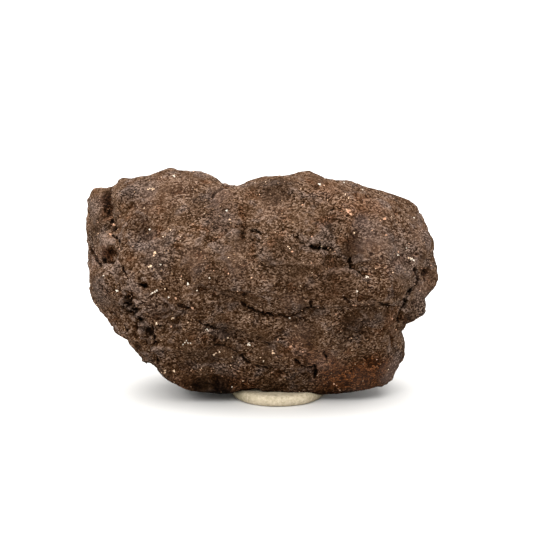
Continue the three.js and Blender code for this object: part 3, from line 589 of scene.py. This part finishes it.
# Layers that break off in low steps, in patches.
warp = weather.noise(place, 7.0, 3.0, 0.55)
LAYERS_PER_MM = 0.4
layer = height_z * LAYERS_PER_MM + warp * 0.5
tread = layer - weather.math("FLOOR", layer)
patchy = weather.between(weather.noise(place, 9.0, 1.0), 0.0, 0.8)
# Each layer rises slowly and then drops at its broken edge.
flakes = (weather.between(tread, 0.0, 0.75) - weather.between(tread, 0.82, 1.0) - 0.5) * patchy
# Broken faces: each cell of the stone is a flat with a tilt of its own.
bend = weather.node("ShaderNodeTexNoise", {}, {"Vector": place, "Scale": 0.25, "Detail": 2.0}, 1)
flattened = weather.vector("MULTIPLY", place, (0.8, 1.0, 1.2))
bent = weather.vector("MULTIPLY_ADD", bend, (2.5, 2.5, 2.5), flattened)


def broken_faces(size):
    """Height in mm, for a tilt of up to a half, of flats about `size` mm across."""
    cells = {"Vector": bent, "Scale": 1 / size, "Smoothness": 0.12}
    kind = {"feature": "SMOOTH_F1"}
    picked = weather.node("ShaderNodeTexVoronoi", kind, cells, 1)
    tilt = weather.vector("SUBTRACT", picked, (0.5, 0.5, 0.5))
    centre = weather.node("ShaderNodeTexVoronoi", kind, cells, 2)
    return weather.vector("DOT_PRODUCT", tilt, weather.vector("SUBTRACT", bent, centre), output=1)


# Grains a millimetre or so across, stretched a little along the layers.
along_layers = weather.vector("MULTIPLY", place, (0.8, 1.0, 1.35))
grains = weather.noise(along_layers, 1.5, 2.0, 0.65)
sand = weather.noise(along_layers, 0.7, 1.0, 0.5)
sink = weather.attribute("sunk")
rise = weather.attribute("raised")
sink_way = weather.attribute("inward", "FLOAT_VECTOR")
crumbled = weather.attribute("rubble")

FACET = 6.0  # mm across the flats
CHIP = 2.6
RUBBLE_LUMP = 1.7
rubbly = broken_faces(RUBBLE_LUMP) - 0.25 * weather.math("ABSOLUTE", grains)
relief = (given["Lump height"] * lumps + given["Flake height"] * flakes
          + given["Facet height"] * broken_faces(FACET) + given["Chip height"] * broken_faces(CHIP)
          + given["Rubble height"] * crumbled * rubbly
          + given["Grain height"] * grains + given["Sand height"] * sand)
total = relief + rise - sink
# What these blurs find is painted lighter on crests and darker in creases and hollows in the finish.
NARROW = 10  # rounds of blurring, to find worn edges and creases
WIDE = 80  # to find whole lumps and hollows


def above_mean(rounds):
    """How far each point stands out from the mean of those round it."""
    values = {"Value": total, "Iterations": rounds}
    return total - weather.node("GeometryNodeBlurAttribute", {"data_type": "FLOAT"}, values)


out = weather.scaled(normal, (relief + rise + given["Growth"]) * MM)
offset = weather.vector("ADD", out, weather.scaled(sink_way, sink * MM))
noted = weather.store(given["Geometry"], "edge", above_mean(NARROW))
noted = weather.store(noted, "stand", above_mean(WIDE))
moved = weather.node("GeometryNodeSetPosition", {}, {"Geometry": noted, "Offset": offset})
smooth = weather.node("GeometryNodeSetShadeSmooth", {}, {"Geometry": moved, "Shade Smooth": True})
finish_tree(weather, smooth)
run_tree(stone, weather, weather_inputs)


# ---- Stone: its finish ----
# Dark brown weathered chondrite: sandy light and dark grains, rust where water
# has got in, and a greyer bloom on the worn edges. Light and shade are painted
# into it as well: shade in its cracks, pits, creases, hollows and towards its
# foot, and light on its crests, its top and its lit faces.
def rgb(red, green, blue):
    """A colour as a screen shows it, 0 to 255, in the units of a shader."""
    def linear(c):
        c = c / 255
        return c / 12.92 if c < 0.04045 else ((c + 0.055) / 1.055) ** 2.4
    return (linear(red), linear(green), linear(blue), 1)


def new_finish(name):
    """A material without nodes yet, and the tree that they go in."""
    material = bpy.data.materials.new(name)
    material.use_nodes = True
    material.node_tree.nodes.clear()
    return material, Tree(material.node_tree)


def end_finish(tree, values):
    """Ends a material's tree with a surface of these values."""
    shader = tree.node("ShaderNodeBsdfPrincipled", {}, values)
    tree.node("ShaderNodeOutputMaterial", {}, {0: shader})


stone_finish, finish = new_finish("weathered chondrite")
place = finish.vector("MULTIPLY", finish.node("ShaderNodeTexCoord", {}, {}, 3), (1 / MM,) * 3)
edge = finish.attribute("edge")
stand = finish.attribute("stand")
crack = finish.attribute("crack")
beside = finish.attribute("beside")
pit = finish.attribute("pit")


def blended(tree, share, first, second, how="MIX"):
    """Two colours mixed by a share from 0 to 1."""
    settings = {"data_type": "RGBA", "blend_type": how, "clamp_factor": True}
    return tree.node("ShaderNodeMix", settings, {0: share, 6: first, 7: second}, 2)


# Painted shade for the inside of cracks and pits.
CRACK_SHADE_COLOUR = rgb(16, 9, 5)
FLECK = rgb(168, 134, 104)
# Patches of colour and of painted light: rust and bloom change the stone's hue, the bloom also
# standing for a grey sheen on the right end; slate darkens it a little, as darker stone and as
# painted shade in hollows; shade is painted shade and darkens it a lot; worn lightens it, as wear
# and as painted light on lit faces and ridges.
RUST = ("COLOR", rgb(118, 67, 30))
BLOOM_AND_SHEEN = ("COLOR", rgb(118, 101, 92))
SLATE_AND_SHADED_HOLLOWS = ("MULTIPLY", rgb(170, 165, 160))
PAINTED_SHADE = ("MULTIPLY", rgb(90, 82, 76))
WORN_AND_LIT = ("SCREEN", rgb(62, 48, 42))
# x and z of each on the broad face, its radius, and how strong it is.
STAINS = [
    (RUST, [
        (11.4, 3.2, 4.5, 0.8), (18.4, 4.4, 5.0, 0.8), (8.0, 7.0, 4.0, 0.35), (15.5, 2.6, 4.0, 0.5),
        (3.5, 8.0, 4.0, 0.25), (23.0, 16.0, 3.0, 0.3), (9.5, 41.5, 4.0, 0.2), (18.5, 38.0, 3.5, 0.2),
        (-8.0, 2.0, 4.5, 0.36), (-19.0, 2.5, 3.5, 0.3), (-33.9, 38.4, 2.2, 0.5),
        (-33.4, 28.4, 2.0, 0.6), (-10.5, 37.0, 5.0, 0.12), (15.0, 36.5, 4.5, 0.24),
        (10.0, 24.0, 5.0, 0.1),
    ]),
    # Greyer bloom, which on the right end and lower right also paints in a grey sheen.
    (BLOOM_AND_SHEEN, [
        (23.2, 5.8, 1.7, 0.7), (21.9, 3.4, 1.6, 0.7), (18.0, 33.0, 3.5, 0.48), (24.5, 27.5, 6.0, 0.48),
        (29.0, 18.0, 4.0, 0.48), (-36.0, 20.5, 4.0, 0.56), (-30.0, 41.0, 2.5, 0.48),
        (-12.0, 39.5, 3.0, 0.2), (29.8, 31.0, 2.4, 0.6), (24.2, 8.0, 1.6, 0.7),
        (-24.5, 17.6, 2.6, 0.3), (-26.6, 30.6, 2.8, 0.5), (-36.6, 37.5, 2.5, 0.5),
        (-26.5, 41.5, 3.5, 0.5), (-11.5, 35.0, 3.6, 0.4), (-24.0, 27.5, 3.6, 0.45),
    ]),
    # Darker stone, and painted shade in hollows, in the furrow and beside the recess.
    (SLATE_AND_SHADED_HOLLOWS, [
        (-28.0, 33.0, 3.0, 0.7), (-29.5, 40.3, 2.0, 0.6), (15.2, 30.2, 2.6, 0.8),
        (11.0, 35.0, 3.0, 0.6), (1.5, 27.0, 5.5, 0.6), (-0.5, 42.0, 4.5, 0.8), (-12.5, 37.0, 5.0, 0.6),
        (-36.3, 33.0, 3.4, 0.8), (-14.5, 8.6, 4.0, 0.5), (-10.0, 12.0, 3.6, 0.65),
        (14.0, 13.0, 4.0, 0.8), (19.0, 15.4, 3.5, 0.5), (11.5, 24.5, 6.0, 0.65),
        (-10.0, 22.0, 6.0, 0.5), (5.0, 15.8, 4.5, 0.5), (-6.5, 31.5, 3.4, 0.5),
        (-33.0, 34.0, 1.8, 0.8), (-29.5, 18.0, 2.5, 0.6), (-25.8, 12.5, 2.0, 0.8),
        (26.6, 15.4, 2.6, 0.7),
    ]),
    # Painted shade in the recess, the pocket, the notch, the shoulder's cleft and along the bottom.
    (PAINTED_SHADE, [
        (-33.6, 28.3, 1.8, 0.6), (-33.8, 40.2, 1.3, 0.6), (-34.0, 38.2, 1.8, 0.6),
        (-34.0, 36.0, 1.6, 0.6), (-16.0, 1.6, 2.4, 0.8), (26.4, 20.6, 0.9, 0.8),
        (25.6, 19.2, 0.9, 0.8), (24.9, 17.9, 0.9, 0.7), (-26.8, 21.7, 1.0, 0.7), (-11.5, 1.2, 2.6, 1),
    ]),
    # Wear, and painted light on lit faces, ridges and the sheen of the lower right facet.
    (WORN_AND_LIT, [
        (-11.5, 40.0, 2.8, 0.6), (-34.5, 31.2, 1.6, 0.5), (-1.0, 37.5, 4.0, 0.3),
        (-20.0, 41.0, 5.0, 0.25), (22.6, 4.6, 3.2, 0.9), (-16.5, 27.5, 3.0, 0.5),
        (19.0, 29.5, 4.0, 0.4), (10.0, 5.0, 4.5, 0.35), (2.5, 18.5, 2.5, 0.35), (21.0, 37.5, 4.0, 0.3),
        (-36.8, 27.0, 3.0, 0.8), (18.5, 32.8, 3.2, 0.4), (17.0, 2.8, 3.6, 0.35),
        (-8.5, 27.0, 3.6, 0.3), (28.8, 32.0, 3.6, 0.5), (28.8, 22.4, 3.4, 0.75),
        (-26.5, 38.0, 3.0, 0.35), (4.0, 12.0, 3.0, 0.35), (8.5, 7.5, 3.2, 0.35),
    ]),
]

patches = finish.noise(place, 7.0, 3.0, 0.6)
mottle = finish.noise(place, 2.4, 3.0, 0.65)
fine = finish.noise(place, 0.32, 1.0, 0.6)
wander = finish.node("ShaderNodeTexNoise", {}, {"Vector": place, "Scale": 0.25, "Detail": 1.0}, 1)
strayed = finish.vector("MULTIPLY_ADD", wander, (1.6, 1.6, 1.6), place)
swirled = finish.vector("MULTIPLY", strayed, (0.85, 1.0, 1.15))
ridged = {"noise_type": "RIDGED_MULTIFRACTAL"}
threads = finish.node("ShaderNodeTexNoise", ridged, {
    "Vector": swirled, "Scale": 1.3, "Detail": 1.0, "Roughness": 0.6, "Offset": 1.0, "Gain": 2.0}) - 1.2


def speckled(where, spacing):
    """How far each point is from the nearest speck, and a number picked for that speck."""
    values = {"Vector": where, "Scale": 1 / spacing}
    picked = finish.node("ShaderNodeTexVoronoi", {}, values, 1)
    away = finish.node("ShaderNodeTexVoronoi", {}, values, 0)
    return away, finish.node("ShaderNodeSeparateColor", {}, {0: picked}, 0)


GRAIN_SPACING = 0.27  # mm
FLECK_SPACING = 0.7
grain_away, grain_pick = speckled(swirled, GRAIN_SPACING)
height_z = finish.node("ShaderNodeSeparateXYZ", {}, {0: place}, 2)
# Painted shade: darker towards the foot and darkest over the bottom few millimetres. Painted light:
# lighter towards the top.
foot_shade = 1 - finish.between(height_z, 1, 13)
under = 1 - finish.between(height_z, 1.5, 3.0)
broad = finish.between(height_z, 22, 34)
coarseness = 0.76 + 0.28 * finish.noise(place, 5.0, 1.0)
# How light each point is: it picks from the stone's browns, dark to pale. The edge and stand
# terms paint shade into creases and hollows and light onto crests and lumps, the broad term
# paints the upper part lighter, and the foot and under terms paint shade towards the bottom.
tone = (0.416 + broad * 0.1 + patches * 0.055 + mottle * 0.03 + fine * 0.14 + threads * 0.045
        + (grain_pick ** 1.4 - 0.42) * coarseness + edge * 0.6 + stand * 0.18 - foot_shade * 0.2 - under * 0.32)
base = finish.node("ShaderNodeValToRGB", {"stops": [
    (0.0, rgb(26, 12, 3)), (0.25, rgb(49, 31, 15)), (0.5, rgb(76, 55, 39)),
    (0.75, rgb(105, 82, 65)), (1.0, rgb(132, 108, 91))]}, {"Fac": tone})
rusty = finish.between(finish.noise(place, 4.0, 3.0, 0.6) - stand * 2.5, 0.2, 1.3)
base = blended(finish, rusty * 0.35, base, RUST[1], "COLOR")
elsewhere = finish.vector("ADD", place, (31, 7, 13))
greyish = finish.between(finish.noise(elsewhere, 4.0, 3.0, 0.6) + stand * 2.5, 0.1, 1.2)
base = blended(finish, greyish * 0.55, base, BLOOM_AND_SHEEN[1], "COLOR")
final_surface = Surface(stone.data)
ragged = mottle * 0.25
STAIN_CORE = 0.35  # of a stain's radius, where it is whole
STAIN_EDGE = 1.3  # where it has gone
for (how, colour), stains in STAINS:
    for x, z, radius, share in stains:
        spot = final_surface.under(x, z) / MM
        away = finish.vector("DISTANCE", place, tuple(spot), output=1) * (1 / radius) + ragged
        strength = (1 - finish.between(away, STAIN_CORE, STAIN_EDGE)) * share
        base = blended(finish, strength, base, colour, how)
fleck_away, fleck_pick = speckled(place, FLECK_SPACING)
flecked = (1 - finish.between(fleck_away, 0.12, 0.26)) * finish.between(fleck_pick, 0.85, 0.87)
base = blended(finish, flecked * 0.7, base, FLECK)
# Painted shade inside the cracks, broken where grains bridge them, and inside the pits.
narrow = 1 - finish.between(finish.math("ABSOLUTE", beside + fine * 0.5), 0.5, 1.2)
bridged = 0.4 + 0.6 * finish.between(finish.noise(place, 0.9, 1.0), -0.6, 0.3)
painted_in_crack = narrow * bridged * finish.between(crack, 0.1, 0.7)
base = blended(finish, painted_in_crack, base, CRACK_SHADE_COLOUR)
base = blended(finish, finish.between(pit, 0.2, 0.9) * 0.85, base, CRACK_SHADE_COLOUR)
height = fine * 0.3 + threads * 0.45 - grain_away * 0.9 + flecked * 0.3
bump = finish.node("ShaderNodeBump", {}, {"Strength": 1.0, "Distance": 0.18 * MM, "Height": height})
end_finish(finish, {
    "Base Color": base, "Roughness": 0.8, "Normal": bump, "Specular IOR Level": 0.02})
stone.data.materials.clear()
stone.data.materials.append(stone_finish)
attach(stone, "root")
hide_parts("stone")


# ---- Bright grains ----
# Metal, clear crystals and round chondrules that show as pale or orange specks.
# The larger ones are set where they belong and the rest are strewn at random.
# Each larger one is a few rough crystals grown together, sunk half into the stone.
PLACED_GRAINS = {
    "white": [
        (-25.1, 20.4, 0.45), (-24.6, 20.7, 0.45), (-24.2, 20.9, 0.4), (-25.4, 20.2, 0.3),
        (-20.8, 43.8, 0.6), (-25.6, 33.1, 0.45), (-18.0, 22.2, 0.6), (-17.5, 22.2, 0.4),
        (-32.2, 20.8, 0.65), (-34.9, 23.9, 0.35), (-13.7, 23.4, 0.35), (-23.5, 26.1, 0.4),
        (-21.9, 19.5, 0.4), (-16.2, 20.9, 0.4), (-5.8, 10.2, 0.85), (-14.2, 13.1, 0.4),
        (-13.9, 12.8, 0.3), (-19.0, 10.1, 0.3), (-18.6, 10.5, 0.35), (-18.3, 10.9, 0.3),
        (-18.0, 10.4, 0.3), (-17.5, 10.4, 0.35), (8.3, 42.2, 0.65), (2.3, 15.4, 0.4),
        (24.0, 28.0, 0.5), (26.6, 27.3, 0.7), (27.1, 27.0, 0.5), (25.7, 29.4, 0.3), (17.8, 23.6, 0.75),
        (15.8, 20.7, 0.45), (13.2, 42.5, 0.4), (16.9, 41.1, 0.35), (27.2, 35.5, 0.4),
        (-10.3, 36.9, 0.5), (-9.2, 1.6, 0.35),
    ],
    "cream": [
        (-26.0, 41.1, 0.45), (-25.6, 41.3, 0.4), (-25.2, 41.3, 0.4), (-24.8, 41.2, 0.45),
        (-25.1, 41.0, 0.35), (-24.6, 28.5, 0.75), (-24.8, 27.9, 0.5), (-25.4, 25.8, 0.65),
        (-25.8, 25.6, 0.5), (-21.5, 33.0, 0.4), (-23.0, 31.7, 0.35), (-19.5, 31.7, 0.3),
        (-19.5, 30.8, 0.3), (-19.5, 23.1, 0.4), (-24.3, 14.3, 0.65), (-21.3, 15.3, 0.6),
        (-20.9, 15.4, 0.5), (-14.5, 13.0, 0.3), (-20.8, 4.8, 0.7), (-22.6, 4.9, 0.5),
        (-22.6, 4.5, 0.5), (-9.1, 7.6, 0.35), (-12.8, 8.1, 0.55), (-12.4, 8.4, 0.35),
        (-11.7, 8.6, 0.5), (-2.9, 6.8, 0.5), (-3.5, 7.5, 0.35), (-9.7, 35.1, 0.5), (-9.9, 27.5, 0.4),
        (13.5, 40.1, 0.4), (14.1, 39.4, 0.45), (-2.5, 42.6, 0.35), (-7.0, 2.8, 0.45),
        (-15.3, 5.4, 0.3), (13.8, 37.1, 0.5), (-1.0, 8.4, 0.8), (-1.1, 8.9, 0.4), (8.7, 29.7, 0.5),
        (2.0, 29.7, 0.35), (2.3, 29.3, 0.35),
    ],
    "orange": [
        (-33.5, 32.1, 0.85), (-32.8, 34.0, 0.8), (-21.4, 13.7, 0.5), (-15.5, 5.0, 0.4),
        (2.6, 9.7, 0.75), (2.8, 28.7, 0.55), (6.7, 26.4, 0.3), (4.8, 16.9, 0.35), (10.0, 29.4, 0.65),
        (11.4, 28.7, 0.4), (11.6, 16.2, 0.6), (15.0, 18.0, 0.4), (15.5, 17.9, 0.45), (22.8, 15.2, 0.6),
        (14.0, 36.8, 1.2), (14.5, 36.2, 0.8), (21.3, 35.2, 0.9), (20.5, 34.9, 0.4), (21.6, 32.0, 0.55),
        (18.8, 32.9, 0.4), (14.7, 11.4, 0.3), (11.2, 2.2, 0.5), (11.7, 1.9, 0.4), (30.6, 25.9, 0.45),
        (-17.1, 17.4, 0.75), (-1.2, 4.5, 0.4), (27.3, 22.2, 0.4), (4.9, 38.0, 0.5),
    ],
    "brown": [(-20.5, 19.3, 1.05)],
}
CLUSTER = 5  # crystals grown together in a grain
# How far they spread, as a share of the grain's size.
SPREAD = {"white": 0.42, "cream": 0.34, "orange": 0.3, "brown": 0.12}
GOLDEN_ANGLE = math.radians(137.5)
STREWN_SPACING = 2.6  # mm, the least distance between strewn grains
STREWN_SIZE = 0.14
TINTS = {"white": 0.0, "cream": 0.35, "orange": 0.65, "brown": 0.9}

spots = []
sizes = []
tints = []
for name, grains in PLACED_GRAINS.items():
    for x, z, size in grains:
        for i in range(CLUSTER):
            angle = i * GOLDEN_ANGLE + x
            away = size * SPREAD[name] * math.sqrt(i / CLUSTER)
            hit = final_surface.under(x + away * math.cos(angle), z + away * math.sin(angle))
            if hit is not None:
                spots.append(hit)
                sizes.append(size * (0.52 + 0.14 * math.cos(7 * angle)))
                tints.append(TINTS[name] + 0.12 * math.cos(5 * angle))
grain_mesh = bpy.data.meshes.new("bright_grains")
grain_mesh.from_pydata([tuple(spot) for spot in spots], [], [])
grain_mesh.attributes.new("size", "FLOAT", "POINT").data.foreach_set("value", sizes)
grain_mesh.attributes.new("tint", "FLOAT", "POINT").data.foreach_set("value", tints)
bright_grains = new_object("bright_grains", grain_mesh)

grain_finish, specks = new_finish("bright grains")
tint = specks.attribute("tint")
colour = specks.node("ShaderNodeValToRGB", {"stops": [
    (0.0, rgb(224, 214, 198)), (0.35, rgb(216, 186, 152)), (0.65, rgb(196, 146, 114)),
    (1.0, rgb(120, 92, 72))]}, {"Fac": tint})
end_finish(specks, {"Base Color": colour, "Roughness": 0.3, "Specular IOR Level": 0.6})

grain_inputs = {"Stone": stone, "Spacing": STREWN_SPACING * MM, "Strewn size": STREWN_SIZE}
scatter = geometry_tree("grain scatter", grain_inputs)
asked = scatter.given
relative = {"transform_space": "RELATIVE"}
host = scatter.node("GeometryNodeObjectInfo", relative, {"Object": asked["Stone"]}, 4)
strewn = scatter.node("GeometryNodeDistributePointsOnFaces", {"distribute_method": "POISSON"}, {
    "Mesh": host, "Distance Min": asked["Spacing"], "Density Max": 4e5, "Seed": 4})
chance = scatter.node("FunctionNodeRandomValue", {"data_type": "FLOAT"}, {2: 0.45, 3: 1.6, "Seed": 9}, 1)
strewn = scatter.store(strewn, "size", chance * chance * asked["Strewn size"])
tint = scatter.node("FunctionNodeRandomValue", {"data_type": "FLOAT"}, {2: 0.3, 3: 1.0, "Seed": 12}, 1)
strewn = scatter.store(strewn, "tint", tint)
placed = scatter.node("GeometryNodeMeshToPoints", {}, {"Mesh": asked["Geometry"]})
joined = scatter.nodes.nodes.new("GeometryNodeJoinGeometry")
for part in (placed, strewn):
    scatter.nodes.links.new(part.socket, joined.inputs[0])
crystal = scatter.node("GeometryNodeMeshIcoSphere", {}, {"Radius": 0.5 * MM, "Subdivisions": 1})
three_ways = {"data_type": "FLOAT_VECTOR"}
turn = scatter.node("FunctionNodeRandomValue", three_ways, {0: (0, 0, 0), 1: (6.3, 6.3, 6.3), "Seed": 3})
stretch = scatter.node("FunctionNodeRandomValue", three_ways, {
    0: (0.6, 0.6, 0.6), 1: (1.3, 1.3, 1.3), "Seed": 5})
scale = scatter.scaled(stretch, scatter.attribute("size"))
crystals = scatter.node("GeometryNodeInstanceOnPoints", {}, {
    "Points": Wire(scatter, joined.outputs[0]), "Instance": crystal, "Rotation": turn, "Scale": scale})
realized = scatter.node("GeometryNodeRealizeInstances", {}, {"Geometry": crystals})
dressed = {"Geometry": realized, "Material": grain_finish}
finish_tree(scatter, scatter.node("GeometryNodeSetMaterial", {}, dressed))
run_tree(bright_grains, scatter, grain_inputs)

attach(bright_grains, "root")


# ---- Putty pad ----
# A flattened ball of cream mounting putty with a soft uneven rim, dented where
# the stone has been pressed into it.
PAD_RADIUS = 9.5
PAD_HEIGHT = 2.2
PAD_RIM = 1.0  # radius of its rounded edge
PAD_GAP = 0.02  # between the stone and its dent
PAD_SPOKES = 240
PAD_RINGS = 40  # over the top, from the rim to the middle
UNDER_RINGS = 6
RIM_RINGS = 12
OUT_OF_ROUND = 0.012  # of its radius, and the ripple in its rim
RIPPLE = 0.004
TOP_WAVE = 2.5  # mm from a low place in its top to a high one
TOP_RISE = 0.06
LEAST_PUTTY = 0.05  # mm left under the stone

flat = PAD_RADIUS - PAD_RIM
profile = [(flat * i / UNDER_RINGS, 0.0) for i in range(1, UNDER_RINGS + 1)]
for i in range(1, RIM_RINGS + 1):
    angle = math.pi * i / RIM_RINGS
    bulge = PAD_RIM * math.sin(angle)
    profile.append((flat + bulge, PAD_HEIGHT / 2 * (1 - math.cos(angle))))
profile += [(flat * (1 - i / PAD_RINGS), PAD_HEIGHT) for i in range(1, PAD_RINGS)]
points = [(0, 0, 0)]
for radius, height in profile:
    for j in range(PAD_SPOKES):
        angle = 2 * math.pi * j / PAD_SPOKES
        x, y = math.cos(angle), math.sin(angle)
        wobble = OUT_OF_ROUND * noise.noise(Vector((x * 2, y * 2, 0.3)))
        uneven = 1 + wobble + RIPPLE * noise.noise(Vector((x * 9, y * 9, height)))
        x, y = x * radius * uneven, y * radius * uneven
        top = height + TOP_RISE * noise.noise(Vector((x, y, 5)) / TOP_WAVE) * min(1, height)
        over = final_surface.tree.ray_cast(Vector((x, y, -1)) * MM, Vector((0, 0, 1)))[0]
        if over is not None:
            top = min(top, max(LEAST_PUTTY, over.z / MM - PAD_GAP))
        points.append((x * MM, y * MM, max(0.0, top if height > 0 else 0.0) * MM))
points.append((0, 0, points[-1][2]))
faces = [(0, 1 + (j + 1) % PAD_SPOKES, 1 + j) for j in range(PAD_SPOKES)]
for ring in range(len(profile) - 1):
    start = 1 + ring * PAD_SPOKES
    for j in range(PAD_SPOKES):
        k = (j + 1) % PAD_SPOKES
        faces.append((start + j, start + k, start + PAD_SPOKES + k, start + PAD_SPOKES + j))
start = 1 + (len(profile) - 1) * PAD_SPOKES
faces += [(start + j, start + (j + 1) % PAD_SPOKES, len(points) - 1) for j in range(PAD_SPOKES)]
pad_mesh = bpy.data.meshes.new("pressed_putty_pad")
pad_mesh.from_pydata(points, [], faces)
pad_mesh.shade_smooth()
pad = new_object("pressed_putty_pad", pad_mesh)

pad_finish, putty = new_finish("cream putty")
place = putty.vector("MULTIPLY", putty.node("ShaderNodeTexCoord", {}, {}, 3), (1 / MM,) * 3)
speckle = putty.noise(place, 0.5, 2.0, 0.7)
smear = putty.noise(putty.vector("MULTIPLY", place, (1.0, 1.0, 0.25)), 0.7, 2.0, 0.6)
# Painted shade: the putty is darker and greyer towards its two sides, where the stone shades it.
across_x = putty.node("ShaderNodeSeparateXYZ", {}, {0: place}, 0)
side_shade = putty.between(putty.math("ABSOLUTE", across_x), 4.5, 9.5)
shade = 0.52 + speckle * 0.22 + smear * 0.18 - side_shade * 0.75
colour = putty.node("ShaderNodeValToRGB", {"stops": [
    (0.0, rgb(150, 139, 113)), (0.5, rgb(187, 173, 147)), (1.0, rgb(208, 195, 170))]}, {"Fac": shade})
bump = putty.node("ShaderNodeBump", {}, {
    "Strength": 1.0, "Distance": 0.05 * MM, "Height": speckle + smear})
end_finish(putty, {
    "Base Color": colour, "Roughness": 0.75, "Normal": bump, "Specular IOR Level": 0.3})
pad.data.materials.append(pad_finish)
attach(pad, "root")
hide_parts("putty_pad")


# ---- Floor and light ----
# A white sweep under a broad overhead light, with white walls all round.
FLOOR_HALF = 4.0  # metres from its middle to its edges

floor_mesh = bpy.data.meshes.new("floor")
corners = [(x * FLOOR_HALF, y * FLOOR_HALF, 0) for x, y in [(-1, -1), (1, -1), (1, 1), (-1, 1)]]
floor_mesh.from_pydata(corners, [], [(0, 1, 2, 3)])
floor = new_object("floor", floor_mesh)
floor_finish, sweep = new_finish("white floor")
end_finish(sweep, {"Base Color": (0.66, 0.65, 0.63, 1), "Roughness": 0.7})
floor_mesh.materials.append(floor_finish)

world = bpy.data.worlds.new("white walls")
world.use_nodes = True
world.node_tree.nodes["Background"].inputs["Color"].default_value = (1, 1, 1, 1)
world.node_tree.nodes["Background"].inputs["Strength"].default_value = 1.0
bpy.context.scene.world = world
bpy.context.scene.view_settings.view_transform = "Standard"

sky_data = bpy.data.lights.new("overhead light", "SUN")
sky_data.energy = 6.1
sky_data.angle = math.radians(100)
sky = bpy.data.objects.new("overhead light", sky_data)
bpy.context.scene.collection.objects.link(sky)
sky.rotation_euler = Vector((0.22, 0.14, -1)).to_track_quat("-Z", "Y").to_euler()
